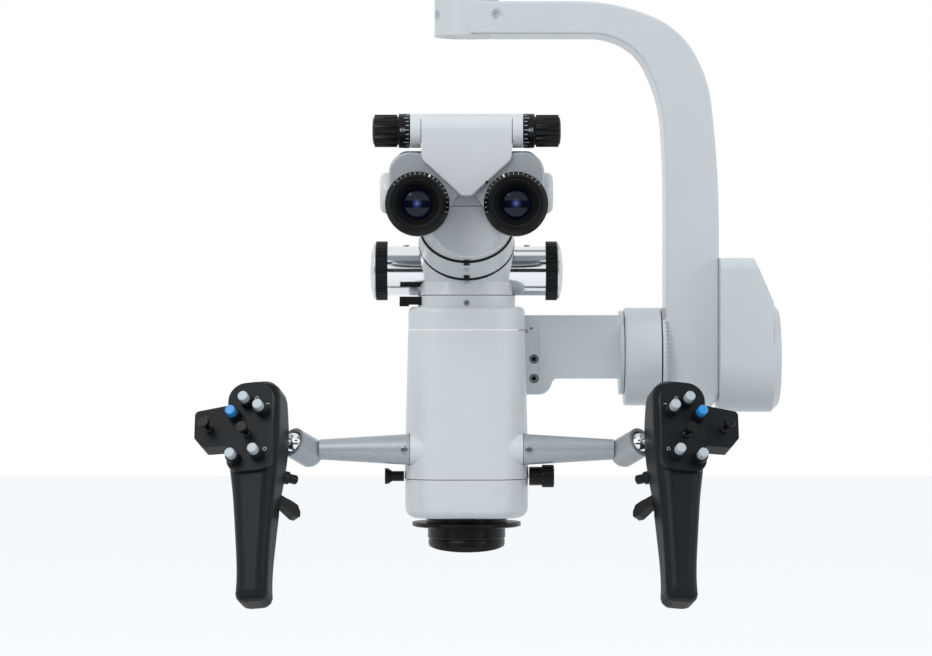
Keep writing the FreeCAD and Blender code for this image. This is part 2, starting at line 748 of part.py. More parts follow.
def makePrismHousing(side, name):
    body = newBody(f"Prism{name}")
    pivot, swing = dim.swing_half_distance, dim.swing_radius
    eye = dim.pupil_distance / 2
    top = dim.swing_height + swing
    low = dim.eyepiece_height - 17.6
    outer = pivot + swing
    corners = [(outer, top, swing - 0.2), (outer, low, 19), (eye - 19.4, low, 15), (eye - 20.5, low + 16, 4),
               (4, low + 26, 2), (14, top - 8, 3), (24, top - 2.5, 3)]
    if side < 0:
        corners = [(-corner[0],) + corner[1:] for corner in corners]
    back = dim.plate_depth + dim.plate_thickness + dim.side_gap
    shell = pad(body, "XZ_Plane", outline(corners), back, dim.prism_depth, "Housing")
    dress(body, "Fillet", shell, dim.prism_edge_round,
          lambda e: e.BoundBox.YMax < 0.01 - (back + dim.prism_depth).number)
    pad(body, "XZ_Plane", circles((eye * side, dim.eyepiece_height, dim.eyepiece_tube_radius)),
        dim.shield_depth - 2, 22, "EyeTube")
    pocket(body, "XZ_Plane", circles((eye * side, dim.eyepiece_height, dim.eyepiece_tube_radius - 3)),
           dim.shield_depth + 21, 20, "TubeBore")
    node(body, f"{name.lower()}_prism_housing")


def placeEyepiece(body, side):  # local Z runs from the prism housing to the eye
    place(body, dim.pupil_distance / 2 * side, -dim.shield_depth, dim.eyepiece_height,
          Rotation(Vector(1, 0, 0), 90))


def makeEyepiece(side, name):
    length = dim.eyepiece_end - dim.shield_depth
    tube = dim.eyepiece_tube_radius + dim.running_gap
    cell = dim.eye_lens_radius + dim.running_gap
    wide = dim.eyepiece_radius
    ring = turned(f"Diopter{name}", [(tube, 8), (wide - 4, 8), (wide - 3, 10), (wide - 0.6, 13), (wide, 15),
                                     (wide, length - 14), (wide - 2.8, length - 11), (cell, length - 11),
                                     (cell, length - 15), (tube, length - 15)])
    placeEyepiece(ring, side)
    node(ring, f"{name.lower()}_diopter_ring")
    cup = turned(f"Eyecup{name}", [(dim.eye_lens_radius + 1.2, length - 11 + 0.3), (wide - 3, length - 11 + 0.3),
                                   (wide - 2.8, length - 2), (wide - 4.5, length), (wide - 7, length - 1),
                                   (dim.eye_lens_radius + 1.2, length - 7)])
    placeEyepiece(cup, side)
    node(cup, f"{name.lower()}_eyecup")
    lens = turned(f"EyeLens{name}", [(0, length - 14), (dim.eye_lens_radius, length - 14),
                                     (dim.eye_lens_radius, length - 10), (0, length - 8.5)])
    placeEyepiece(lens, side)
    node(lens, f"{name.lower()}_eye_lens")


# Magnification knobs: fixed bright tubes with a shaft inside, a knurled rim and a domed cap at each end

def makeKnobTubes():
    body = newBody("KnobTubes")
    centre = (-dim.axis_depth, dim.magnification_height)
    for side, name in sides:
        start = 24 if side > 0 else -dim.knob_tube_end
        pad(body, "YZ_Plane", circles((*centre, dim.knob_tube_radius)), start, dim.knob_tube_end - 24,
            f"Tube{name}")
    pad(body, "YZ_Plane", circles((*centre, 10)), -25, 50, "Carrier")
    pocket(body, "YZ_Plane", circles((*centre, 6 + dim.running_gap)), dim.knob_tube_end + 5,
           dim.knob_tube_end * 2 + 10, "ShaftBore")
    node(body, "knob_tubes")


def makeMagnificationKnobs():
    body = newBody("MagnificationKnobs")
    centre = (-dim.axis_depth, dim.magnification_height)
    start = dim.knob_tube_end + dim.side_gap
    pad(body, "YZ_Plane", circles((*centre, 6)), -start - 1, start * 2 + 2, "Shaft")
    for side, name in sides:
        first = start if side > 0 else -start - dim.knob_width
        pad(body, "YZ_Plane", circles((*centre, dim.knob_radius)), first, dim.knob_width, f"Rim{name}")
    node(body, "magnification_knobs")
    caps = []
    for side, name in sides:
        rise = dim.knob_end - start - dim.knob_width
        cap = turned(f"KnobCap{name}", [(0, 0), (dim.knob_radius - 1.2, 0), (dim.knob_radius - 1.2, 1),
                                        (dim.knob_radius - 7, rise - 1), (0, rise)])
        place(cap, (start + dim.knob_width) * side, -dim.axis_depth, dim.magnification_height,
              Rotation(Vector(0, 1, 0), 90 * side))
        caps.append(cap)
    group("knob_caps", caps)


def cutNeckForTubes(neck):
    # the neck housing has a round seat for each bright tube
    tool = doc.addObject("Part::Cylinder", "TubeRoom")
    bind(tool, "Radius", dim.knob_tube_radius + dim.running_gap)
    tool.Height = 200
    place(tool, -100, -dim.axis_depth, dim.magnification_height, Rotation(Vector(0, 1, 0), 90))
    cut = doc.addObject("Part::Cut", "NeckWithSeats")
    cut.Base = neck
    cut.Tool = tool
    return cut


# Small controls on the body

def makeFilterLever():
    body = newBody("FilterLever")
    high = dim.neck_seam - 0.6
    left = -dim.neck_half_width
    plate = [(left - 12.4, high), (left + 11, high), (left + 11, high - 5.6), (left - 6, high - 5.6),
             (left - 6, high - 6.7), (left - 12.4, high - 6.7)]
    pad(body, "XZ_Plane", outline(plate), dim.axis_depth + 14, 9, "Lever")
    node(body, "filter_lever")


def makeSmallKnob(name, side, wide, long, label, corners):
    body = turned(name, corners(wide, long))
    place(body, (dim.body_half_width + dim.side_gap) * side, -dim.axis_depth - 22, dim.lower_seam + 1.5,
          Rotation(Vector(0, 1, 0), 90 * side))
    node(body, label)


def trumpet(wide, long):
    return [(0, 0), (wide - 2, 0), (wide - 2, long - 5), (wide, long - 2), (wide, long), (0, long)]


def ribbed(wide, long):
    return [(0, 0), (wide - 1, 0), (wide - 1, long - 8), (wide, long - 7), (wide, long - 1),
            (wide - 1, long), (0, long)]


# Objective under the body

def makeObjective():
    body = newBody("Objective")
    wide = dim.objective_radius
    top = 0
    low = -dim.objective_drop
    corners = [(dim.lens_radius + 1, top), (wide + 1, top), (wide + 1, -3.6), (wide + 0.5, -3.6),
               (wide + 0.5, -7.4), (wide, -7.4), (wide, low + 6),
               (wide - 0.8, low + 5), (wide - 0.8, low), (wide - 2.5, low), (dim.lens_radius, low + 8),
               (dim.lens_radius, low + 10), (dim.lens_radius + 1, low + 10)]
    revolve(body, corners)
    place(body, 0, -dim.axis_depth, bodyBottom)
    node(body, "objective_barrel")


def makeFlange():
    wide = dim.flange_radius
    inner = dim.objective_radius + 0.5 + dim.running_gap
    body = turned("Flange", [(inner, -4), (wide, -4), (wide, -6.5), (wide - 2, -7.2), (inner, -7.2)])
    place(body, 0, -dim.axis_depth, bodyBottom)
    node(body, "drape_flange")


def makeObjectiveLens():
    wide = dim.lens_radius + 1 - dim.running_gap
    low = -dim.objective_drop + 10
    body = turned("ObjectiveLens", [(0, low), (wide, low), (wide, low + 6), (0, low + 8)])
    place(body, 0, -dim.axis_depth, bodyBottom)
    node(body, "objective_lens")


# Control handles. Local frame of a handle: face towards -Y, up the grip +Z, origin behind the button panel

buttons = {  # places on the left handle's face
    "top": (-1.5, 16.6),
    "inner": (8.8, 9.8),
    "blue": (-10.1, 7.4),
    "lower_outer": (-9.6, -23.5),
    "lower_inner": (6, -21.6),
}
thumbStick = (-1.5, -6.2)
sideStick = (-30, 2.4)
plungerHeight = -25
triggerHeight = -41


def placeOnHandle(item, side, x=0, y=0, z=0, turn=None):
    origin = Vector((sizes["elbow_reach"] + sizes["handle_offset"]) * side, -sizes["handle_depth"], sizes["handle_height"])
    yaw = Rotation(Vector(0, 0, 1), sizes["handle_yaw"] * side)
    pitch = Rotation(Vector(1, 0, 0), -sizes["handle_pitch"])
    lean = pitch * yaw
    x = x if side < 0 else -x
    point = origin + lean.multVec(Vector(float(x), float(y), float(z)))
    item.Placement = Placement(point, lean * (turn or Rotation()))


def mirrored(corners, side):
    return corners if side < 0 else [(-corner[0],) + corner[1:] for corner in corners]


def gripSection(body, name, height, across, along, corner, inset=0):
    half = dim.grip_width * across / 2 - inset
    reach = dim.grip_depth * along / 2 - inset
    corner = max(corner - inset, 1)
    sketch = newSketch(body, name, "XY_Plane", height)
    drawOutline(sketch, [(-half, -reach, corner), (half, -reach, corner), (half, reach, corner),
                         (-half, reach, corner)])
    return sketch


def makeGripForm(side, name):
    # a smooth loft from the rounded head down the grip, with finger grooves behind and a pod at the side
    body = newBody(f"Grip{name}")
    deep = dim.grip_depth
    levels = ((-114, 0.62, 0.7, 8), (-90, 0.62, 0.7, 8), (-66, 0.7, 0.78, 8), (-42, 0.81, 0.88, 9),
              (-18, 0.95, 1, 9), (6, 1, 1.06, 10), (27, 0.95, 1, 11))
    sketches = [gripSection(body, f"Level{number}", *level) for number, level in enumerate(levels)]
    loft = body.newObject("PartDesign::AdditiveLoft", "GripForm")
    loft.Profile = sketches[0]
    loft.Sections = sketches[1:]
    for label, (height, across, along, corner), way, size in (
            ("Bottom", levels[0], -1, 6), ("Top", levels[-1], 1, 8.5)):
        caps = []
        for number, turn in enumerate((0, 30, 60, 90)):  # steps of a quarter round
            inset = size * (1 - math.cos(math.radians(turn)))
            rise = size * math.sin(math.radians(turn)) * way
            caps.append(gripSection(body, f"{label}{number}", height + rise, across, along, corner, inset))
        cap = body.newObject("PartDesign::AdditiveLoft", f"{label}Cap")
        cap.Profile = caps[0]
        cap.Sections = caps[1:]
        cap.Ruled = True
    for number, (height, reach) in enumerate(((-45, 0.87), (-68, 0.76), (-91, 0.71))):
        groove = newSketch(body, f"Finger{number}Sketch", "YZ_Plane", 30)
        drawCircle(groove, deep / 2 * reach + 12.6, height, 15)
        cut = body.newObject("PartDesign::Pocket", f"Finger{number}")
        cut.Profile = groove
        cut.Length = 60
    pod = [(-13, 19), (-40.5, 16.3, 3), (-40.5, -3, 2), (-34.5, -10.5, 2), (-13, -11)]
    pad(body, "XZ_Plane", outline(mirrored(pod, side)), 2, 13, "Pod")
    face = deep / 2 + dim.panel_rise
    half = dim.panel_half_width
    panel = [(-half, 31.5, 12), (half, 31.5, 12), (half, -32.5, 9), (-half, -32.5, 9)]
    pad(body, "XZ_Plane", outline(panel), face - 6, 6, "Panel")
    for label, (x, z) in buttons.items():
        x = x if side < 0 else -x
        pad(body, "XZ_Plane", circles((x, z, dim.button_radius + 1.2)), face - 3, dim.collar_rise + 3,
            f"Collar_{label}")
        pocket(body, "XZ_Plane", circles((x, z, dim.button_radius + dim.running_gap)),
               face + dim.collar_rise + 2, dim.collar_rise + 5, f"Bore_{label}")
    return body


def makeGrip(side, name):
    form = makeGripForm(side, name)
    placeOnHandle(form, side)
    aside = Rotation(Vector(0, 0, 1), 45 * side)
    bore = doc.addObject("Part::Cylinder", f"PlungerBore{name}")
    bind(bore, "Radius", dim.plunger_radius + dim.running_gap)
    bore.Height = 30
    start = aside.multVec(Vector(0, 10, 0))
    placeOnHandle(bore, side, -start.x * side, start.y, plungerHeight, aside * Rotation(Vector(1, 0, 0), -90))
    slot = doc.addObject("Part::Box", f"TriggerSlot{name}")
    bind(slot, "Length", dim.trigger_width + 2 * dim.side_gap)
    slot.Width = 30
    slot.Height = 18
    corner = aside.multVec(Vector(-sizes["trigger_width"] / 2 - sizes["side_gap"], 8, 0))
    placeOnHandle(slot, side, -corner.x * side, corner.y, triggerHeight - 13, aside)
    cutter = doc.addObject("Part::MultiFuse", f"GripTools{name}")
    cutter.Shapes = [bore, slot, ballNeck(side, f"NeckBore{name}", dim.ball_neck_radius + dim.running_gap)]
    grip = doc.addObject("Part::Cut", f"GripCut{name}")
    grip.Base = form
    grip.Tool = cutter
    node(grip, f"{name.lower()}_grip")


def makeButtons(side, name):
    radius = dim.button_radius
    seat = dim.collar_rise + 5 - dim.collar_rise - 2 - dim.button_travel - dim.side_gap
    for label, (x, z) in buttons.items():
        length = dim.button_rise + seat
        body = turned(f"Button{name}_{label}", [(0, 0), (radius, 0), (radius, length - 0.6),
                                                (radius - 0.6, length), (0, length)])
        placeOnHandle(body, side, x, seat - dim.grip_depth / 2 - dim.panel_rise, z, Rotation(Vector(1, 0, 0), 90))
        node(body, f"{name.lower()}_{label}_button")


def makeStick(side, name, label, x, y, z):
    body = turned(f"{label}Stick{name}", [(0, 0), (3, 0), (3, 1.5), (1.7, 2.5), (1.7, 8), (3.6, 10.5), (3.9, 13),
                                          (3.5, 14), (0, 14)])
    placeOnHandle(body, side, x, y, z, Rotation(Vector(1, 0, 0), 90))
    node(body, f"{name.lower()}_{label}_stick")


def makeTrigger(side, name):
    # a bent lever with a raised thumb rest, out of the inner corner of the grip's back
    body = newBody(f"Trigger{name}")
    z = triggerHeight
    lever = [(12, z + 3), (19, z, 10), (24.5, z - 1.5, 3), (29, z - 3.5, 1.5), (31, z - 8, 1), (31, z - 12, 1),
             (27, z - 12, 2), (12, z - 2)]
    pad(body, "YZ_Plane", outline(lever), -dim.trigger_width / 2, dim.trigger_width, "Lever")
    placeOnHandle(body, side, turn=Rotation(Vector(0, 0, 1), 45 * side))
    node(body, f"{name.lower()}_trigger")


def makePlunger(side, name):
    radius = dim.plunger_radius
    first = 10 + dim.plunger_travel + dim.side_gap
    body = turned(f"Plunger{name}", [(0, first), (radius, first), (radius, 23), (radius - 1.2, 24),
                                     (radius - 1.2, 29), (radius - 1.8, 29.6), (0, 29.6)])
    aside = Rotation(Vector(0, 0, 1), 45 * side)
    placeOnHandle(body, side, 0, 0, plungerHeight, aside * Rotation(Vector(1, 0, 0), -90))
    node(body, f"{name.lower()}_release_plunger")


def makeHandleArm(side, name):
    # a tapered arm on a boss of the body, along X
    length = dim.elbow_reach - dim.handle_arm_start
    body = turned(f"HandleArm{name}", [(0, 0), (dim.handle_arm_radius, 0), (dim.handle_arm_radius, 3),
                                       (dim.handle_arm_end_radius, length - 10), (0, length - 10)])
    place(body, dim.handle_arm_start * side, -handleArmDepth, dim.handle_arm_height,
          Rotation(Vector(0, 1, 0), 90 * side))
    return body


def elbowAxis(side):  # the way the elbow's socket opens, from the arm's end to the handle
    return Vector(0.634 * side, -0.656, 0.407)


def ballCentre(side):
    elbow = Vector(sizes["elbow_reach"] * side, -handleArmDepth.number, sizes["handle_arm_height"])
    return elbow + elbowAxis(side) * (2.4 + sizes["ball_radius"])


def ballNeck(side, name, radius):
    neck = doc.addObject("Part::Cylinder", name)
    neck.Radius = float(radius)
    bind(neck, "Radius", radius)
    neck.Height = 15
    neck.Placement = Placement(ballCentre(side), Rotation(Vector(0, 0, 1), elbowAxis(side)))
    return neck


def makeHandleArmWithElbow(side, name):
    arm = makeHandleArm(side, name)
    radius, room = dim.elbow_radius, dim.ball_radius + 0.4
    elbow = turned(f"Elbow{name}", [(0, -10.5), (radius - 4, -10.5), (radius - 1.2, -9.3), (radius, -6.5),
                                    (radius, 13), (room, 13), (room, 2), (0, 2)])
    place(elbow, dim.elbow_reach * side, -handleArmDepth, dim.handle_arm_height,
          Rotation(Vector(0, 0, 1), elbowAxis(side)))
    whole = doc.addObject("Part::Fuse", f"ArmAndElbow{name}")
    whole.Base = arm
    whole.Tool = elbow
    node(whole, f"{name.lower()}_handle_arm")


def makeBallStud(side, name):
    # the ball sits in the elbow's socket, its neck is fixed in the side of the grip
    radius = dim.ball_radius
    ball = doc.addObject("Part::Sphere", f"Ball{name}")
    bind(ball, "Radius", radius)
    ball.Placement = Placement(ballCentre(side), Rotation())
    neck = ballNeck(side, f"BallNeck{name}", dim.ball_neck_radius)
    stud = doc.addObject("Part::Fuse", f"BallStud{name}")
    stud.Base = ball
    stud.Tool = neck
    node(stud, f"{name.lower()}_ball_stud")


for make in (makeSpindle, makeArm, makeTiltCollar, makeTiltShaft, makeArmCover, makeBracket,
             makeBracketScrews, makeShoulder, makeBody, makeBase, makeNeck, makeCouplingRing,
             makeBinocularBase, makeHingePin, makeBinocularHousing, makeShield, makePupilKnobs,
             makeKnobTubes, makeMagnificationKnobs, makeFilterLever, makeObjective, makeFlange,
             makeObjectiveLens):
    make()
makeSmallKnob("ApertureKnob", -1, 5.5, 13, "aperture_knob", trumpet)
makeSmallKnob("LightKnob", 1, 7.4, 17, "light_knob", ribbed)
for side, name in sides:
    makePrismHousing(side, name)
    makeEyepiece(side, name)
    makeHandleArmWithElbow(side, name)
    makeGrip(side, name)
    makeButtons(side, name)
    makeStick(side, name, "thumb", thumbStick[0],
              -dim.grip_depth / 2 - dim.panel_rise - dim.side_gap, thumbStick[1])
    makeStick(side, name, "side", sideStick[0], -15 - dim.side_gap, sideStick[1])
    makeTrigger(side, name)
    makePlunger(side, name)
    makeBallStud(side, name)


# Checks and export

def checkModel():
    faults = [item.Label for item in doc.Objects if {"Invalid", "Error"} & set(item.State)]
    for item in nodes:
        if item.Shape.isNull() or not item.Shape.isValid() or not item.Shape.Solids:
            faults.append("shape of " + item.Label)
    if faults:
        raise RuntimeError("failed: " + ", ".join(faults))


doc.recompute()
checkModel()
for item in nodes:
    item.Shape.exportStep(f"parts/{item.Label}.step")
print(len(nodes), "pieces,", sum(len(item.Shape.Solids) for item in nodes), "solids")
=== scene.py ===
# Surgical microscope head on its pendulum arm: finishes, small parts and a plain studio
import bpy
import bmesh
from math import atan2, cos, pi, radians, sin
from mathutils import Matrix, Vector


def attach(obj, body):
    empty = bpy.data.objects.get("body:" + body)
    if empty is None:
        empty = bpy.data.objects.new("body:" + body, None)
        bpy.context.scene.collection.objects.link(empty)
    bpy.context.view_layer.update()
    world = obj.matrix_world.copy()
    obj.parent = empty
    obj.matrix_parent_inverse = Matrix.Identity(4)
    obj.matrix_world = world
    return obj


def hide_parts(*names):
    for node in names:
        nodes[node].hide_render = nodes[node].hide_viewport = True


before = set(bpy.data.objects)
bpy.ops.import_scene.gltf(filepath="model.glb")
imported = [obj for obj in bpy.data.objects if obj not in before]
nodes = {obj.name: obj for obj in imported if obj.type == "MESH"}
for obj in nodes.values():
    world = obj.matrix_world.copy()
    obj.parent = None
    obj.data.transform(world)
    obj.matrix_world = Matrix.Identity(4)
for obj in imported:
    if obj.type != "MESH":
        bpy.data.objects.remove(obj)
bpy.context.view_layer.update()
mm = 0.001  # the frame is in metres
sides = {"left": -1, "right": 1}
print("frame loaded:", len(nodes), "nodes")


# Materials: a colour is written as sRGB hex, a pattern's size in millimetres
def linearColour(hexText):
    values = [int(hexText[place : place + 2], 16) / 255 for place in (1, 3, 5)]
    return [v / 12.92 if v <= 0.04045 else ((v + 0.055) / 1.055) ** 2.4 for v in values] + [1.0]


def addNode(tree, kind, inputs=(), **settings):
    item = tree.nodes.new(kind)
    for name, value in settings.items():
        setattr(item, name, value)
    for socket, value in dict(inputs).items():
        if isinstance(value, bpy.types.NodeSocket):
            tree.links.new(value, item.inputs[socket])
        else:
            item.inputs[socket].default_value = value
    return item


def perMm(size):  # scale of a noise whose grains are that many millimetres wide
    return 1000 / size


def startMaterial(name):
    material = bpy.data.materials.new(name)
    material.use_nodes = True
    tree = material.node_tree
    tree.nodes.clear()
    place = addNode(tree, "ShaderNodeTexCoord").outputs["Object"]
    return material, tree, place


def finishMaterial(tree, inputs):
    shader = addNode(tree, "ShaderNodeBsdfPrincipled", inputs)
    addNode(tree, "ShaderNodeOutputMaterial", {"Surface": shader.outputs["BSDF"]})


def grain(tree, place, size, detail=2.0, roughness=0.5):
    inputs = {"Vector": place, "Scale": perMm(size), "Detail": detail, "Roughness": roughness}
    return addNode(tree, "ShaderNodeTexNoise", inputs).outputs["Fac"]


def spread(tree, factor, low, high):  # turns a 0 to 1 pattern into a range of numbers
    inputs = {"Value": factor, "From Min": 0.3, "From Max": 0.7, "To Min": low, "To Max": high}
    return addNode(tree, "ShaderNodeMapRange", inputs).outputs["Result"]


def twoTone(tree, factor, firstHex, secondHex):
    mix = addNode(tree, "ShaderNodeMix", data_type="RGBA")
    for socket in mix.inputs:  # a Mix node has one A and one B for each kind of data
        if socket.type == "RGBA" and socket.name in "AB":
            socket.default_value = linearColour(firstHex if socket.name == "A" else secondHex)
    tree.links.new(factor, mix.inputs["Factor"])
    return [out for out in mix.outputs if out.type == "RGBA"][0]


def bumped(tree, height, depth, strength):
    inputs = {"Height": height, "Distance": depth * mm, "Strength": strength}
    return addNode(tree, "ShaderNodeBump", inputs).outputs["Normal"]


def paintedCasting(name, paleHex, deepHex):
    # Powder-coated aluminium casting: soft satin, with the faint orange peel of baked powder
    material, tree, place = startMaterial(name)
    peel = grain(tree, place, 1.6)
    wide = grain(tree, place, 45.0)
    finishMaterial(tree, {
        "Base Color": twoTone(tree, wide, paleHex, deepHex),
        "Roughness": spread(tree, peel, 0.30, 0.40),
        "IOR": 1.5,
        "Coat Weight": 0.25,
        "Coat Roughness": 0.2,
        "Normal": bumped(tree, peel, 0.05, 0.12),
    })
    return material


def flakePaint(name, paleHex, deepHex, flakeHex):
    # Silver hammer paint on the prism housings and handle arms: fine bright flakes in grey lacquer
    material, tree, place = startMaterial(name)
    cells = addNode(tree, "ShaderNodeTexVoronoi", {"Vector": place, "Scale": perMm(0.55)})
    dots = addNode(tree, "ShaderNodeMapRange", {
        "Value": cells.outputs["Distance"],
        "From Min": 0.15,
        "From Max": 0.55,
        "To Min": 1.0,
        "To Max": 0.0,
    }).outputs["Result"]
    wide = grain(tree, place, 12.0, 3.0)
    ground = twoTone(tree, wide, paleHex, deepHex)
    mix = addNode(tree, "ShaderNodeMix", data_type="RGBA")
    colours = [socket for socket in mix.inputs if socket.type == "RGBA"]
    tree.links.new(ground, colours[0])
    colours[1].default_value = linearColour(flakeHex)
    tree.links.new(dots, mix.inputs["Factor"])
    finishMaterial(tree, {
        "Base Color": [out for out in mix.outputs if out.type == "RGBA"][0],
        "Metallic": 0.35,
        "Roughness": spread(tree, dots, 0.42, 0.3),
        "Coat Weight": 0.3,
        "Coat Roughness": 0.25,
        "Normal": bumped(tree, dots, 0.04, 0.2),
    })
    return material


def polishedChrome(name):
    # Chrome plate on turned brass: mirror bright, with hairlines from wiping
    material, tree, place = startMaterial(name)
    hair = grain(tree, place, 0.4, 4.0)
    haze = grain(tree, place, 20.0)
    finishMaterial(tree, {
        "Base Color": twoTone(tree, haze, "#E9EBED", "#DDE0E3"),
        "Metallic": 1.0,
        "Roughness": spread(tree, haze, 0.06, 0.12),
        "Normal": bumped(tree, hair, 0.01, 0.05),
    })
    return material


def turnedMetal(name, paleHex, deepHex, low, high):
    # Turned metal, stainless steel or aluminium: satin, with fine tool marks
    material, tree, place = startMaterial(name)
    marks = grain(tree, place, 0.5, 5.0, 0.7)
    haze = grain(tree, place, 14.0)
    finishMaterial(tree, {
        "Base Color": twoTone(tree, haze, paleHex, deepHex),
        "Metallic": 1.0,
        "Roughness": spread(tree, haze, low, high),
        "Normal": bumped(tree, marks, 0.015, 0.2),
    })
    return material


def blackAnodised(name):
    # Black anodised aluminium: deep black with a soft sheen on its turned rims
    material, tree, place = startMaterial(name)
    marks = grain(tree, place, 0.5, 5.0, 0.7)
    haze = grain(tree, place, 10.0)
    finishMaterial(tree, {
        "Base Color": twoTone(tree, haze, "#070809", "#0C0E10"),
        "Metallic": 0.15,
        "Roughness": spread(tree, haze, 0.26, 0.36),
        "IOR": 1.5,
        "Specular IOR Level": 0.22,
        "Normal": bumped(tree, marks, 0.015, 0.15),
    })
    return material


def mouldedPlastic(name, paleHex, deepHex, low, high, texture, gloss=0.5):
    # low and high: roughness; texture: strength of the bump; gloss: specular level
    # Moulded ABS: an even colour with the fine eroded grain of its mould
    material, tree, place = startMaterial(name)
    fine = grain(tree, place, 0.6, 3.0)
    wide = grain(tree, place, 25.0)
    finishMaterial(tree, {
        "Base Color": twoTone(tree, wide, paleHex, deepHex),
        "Roughness": spread(tree, fine, low, high),
        "IOR": 1.53,
        "Specular IOR Level": gloss,
        "Normal": bumped(tree, fine, 0.03, texture),
    })
    return material


def siliconeRubber(name):
    # Silicone eyecup: matt near black with a dusty bloom
    material, tree, place = startMaterial(name)
    fine = grain(tree, place, 0.5, 3.0)
    bloom = grain(tree, place, 8.0)
    finishMaterial(tree, {
        "Base Color": twoTone(tree, bloom, "#0A0B0D", "#101214"),
        "Roughness": spread(tree, fine, 0.5, 0.65),
        "IOR": 1.41,
        "Specular IOR Level": 0.18,
        "Normal": bumped(tree, fine, 0.03, 0.25),
    })
    return material


eyeLens = {
    "aside": 32.5,
    "height": -171.6,
    "radius": 10.0,
    "rings": [  # painted reflections in the lens: share of the radius, and colour there
        (0.14, "#46548A"),
        (0.3, "#1A2236"),
        (0.5, "#06080C"),
        (0.58, "#141B30"),
        (0.66, "#05070B"),
        (0.9, "#121838"),
    ],
}


def coatedGlassWithPaintedReflections(name):
    # Anti-reflection coated lens, dark, with painted reflections in its colour: a pale blue centre and
    # dark and blue rings out to a near black rim
    material, tree, place = startMaterial(name)
    parts = addNode(tree, "ShaderNodeSeparateXYZ", {"Vector": place}).outputs
    aside = addNode(tree, "ShaderNodeMath", {0: parts["X"]}, operation="ABSOLUTE").outputs[0]
    flat = addNode(tree, "ShaderNodeCombineXYZ", {"X": aside, "Z": parts["Z"]}).outputs["Vector"]
    centre = (eyeLens["aside"] * mm, 0, eyeLens["height"] * mm)
    reach = addNode(tree, "ShaderNodeVectorMath", {0: flat, 1: centre}, operation="DISTANCE")
    share = addNode(tree, "ShaderNodeMath", {0: reach.outputs["Value"], 1: eyeLens["radius"] * mm},
                    operation="DIVIDE")
    # painted reflections: colour by distance from the lens's centre, pale blue there, near black at the
    # rim, dark and blue rings between
    ramp = addNode(tree, "ShaderNodeValToRGB", {"Fac": share.outputs[0]})
    stops = ramp.color_ramp.elements
    stops[0].position, stops[0].color = 0.0, linearColour("#7886B0")
    stops[1].position, stops[1].color = 1.0, linearColour("#030408")
    for position, shade in eyeLens["rings"]:
        stops.new(position).color = linearColour(shade)
    finishMaterial(tree, {
        "Base Color": ramp.outputs["Color"],
        "Roughness": spread(tree, grain(tree, place, 3.0), 0.02, 0.05),
        "IOR": 1.52,
        "Specular IOR Level": 0.2,
        "Coat Weight": 0.15,
        "Coat Roughness": 0.02,
        "Coat Tint": linearColour("#9FB4FF"),
    })
    return material


finishes = {
    "white_paint": paintedCasting("powderCoatedAluminium", "#DADFE2", "#D3D9DC"),
    "silver_paint": flakePaint("silverHammerPaint", "#A4ABB0", "#9AA2A8", "#B9BFC3"),
    "chrome": polishedChrome("polishedChrome"),
    "steel": turnedMetal("turnedStainlessSteel", "#9A9EA1", "#8B8F93", 0.22, 0.34),
    "silver_cap": turnedMetal("satinAluminium", "#D3D8DC", "#C6CCD1", 0.26, 0.34),
    "black_anodised": blackAnodised("blackAnodisedAluminium"),
    "black_plastic": mouldedPlastic("blackMouldedPlastic", "#070809", "#0D0F11", 0.30, 0.42, 0.15, 0.2),
    "charcoal_plastic": mouldedPlastic("charcoalMouldedPlastic", "#15191C", "#1B2024", 0.36, 0.46,
                                       0.3, 0.12),
    "black_rubber": siliconeRubber("siliconeRubber"),
    "coated_glass": coatedGlassWithPaintedReflections("coatedGlassWithPaintedReflections"),
    "grey_plastic": mouldedPlastic("greyMouldedPlastic", "#B4BDC4", "#BDC6CC", 0.30, 0.40, 0.1),
    "white_mark": mouldedPlastic("whiteMarkingPaint", "#E6E9EB", "#EDEFF0", 0.45, 0.55, 0.1),
    "blue_plastic": mouldedPlastic("blueMouldedPlastic", "#1C8BD6", "#2699E0", 0.28, 0.36, 0.1),
}

for item in nodes.values():
    for place, material in enumerate(item.data.materials):
        item.data.materials[place] = finishes[material.name.split(".")[0]]
armPaint = paintedCasting("powderCoatedArmCasting", "#D3D9DD", "#CCD3D7")
for name in ("pendulum_arm", "arm_end_cover", "carrier_bracket", "tilt_friction_collar"):
    nodes[name].data.materials[0] = armPaint
print("materials set on the CAD nodes")


# Tools for new pieces: made at their place, then given their finish and the body they ride on
def startPiece():
    if bpy.context.object and bpy.context.object.mode != "OBJECT":
        bpy.ops.object.mode_set(mode="OBJECT")
    bpy.ops.object.select_all(action="DESELECT")


def turnFrom(axis):  # turns +Z towards an axis
    return Vector(axis).to_track_quat("Z", "Y").to_euler()


def point(x, y, z):
    return Vector((x, y, z)) * mm


def rod(radius, length, centre, axis, sides=64):  # a cylinder about an axis, ready to be shaped
    startPiece()
    bpy.ops.mesh.primitive_cylinder_add(vertices=sides, radius=radius * mm, depth=length * mm,
                                        location=centre, rotation=turnFrom(axis))
    return bpy.context.object


def block(size, centre, turn=None):
    startPiece()
    bpy.ops.mesh.primitive_cube_add(size=1, location=centre)
    piece = bpy.context.object
    piece.scale = Vector(size) * mm
    if turn:
        piece.rotation_euler = turn
    return piece


def settle(piece):  # place, turn and size go into the mesh
    startPiece()
    piece.select_set(True)
    bpy.context.view_layer.objects.active = piece
    bpy.ops.object.transform_apply(location=True, rotation=True, scale=True)


def pickVertices(piece, wanted):
    settle(piece)
    bpy.ops.object.mode_set(mode="EDIT")
    bpy.ops.mesh.select_mode(type="VERT")
    bpy.ops.mesh.select_all(action="DESELECT")
    mesh = bmesh.from_edit_mesh(piece.data)
    for vertex in mesh.verts:
        vertex.select_set(bool(wanted(vertex)))
    mesh.select_flush(True)
    bmesh.update_edit_mesh(piece.data)


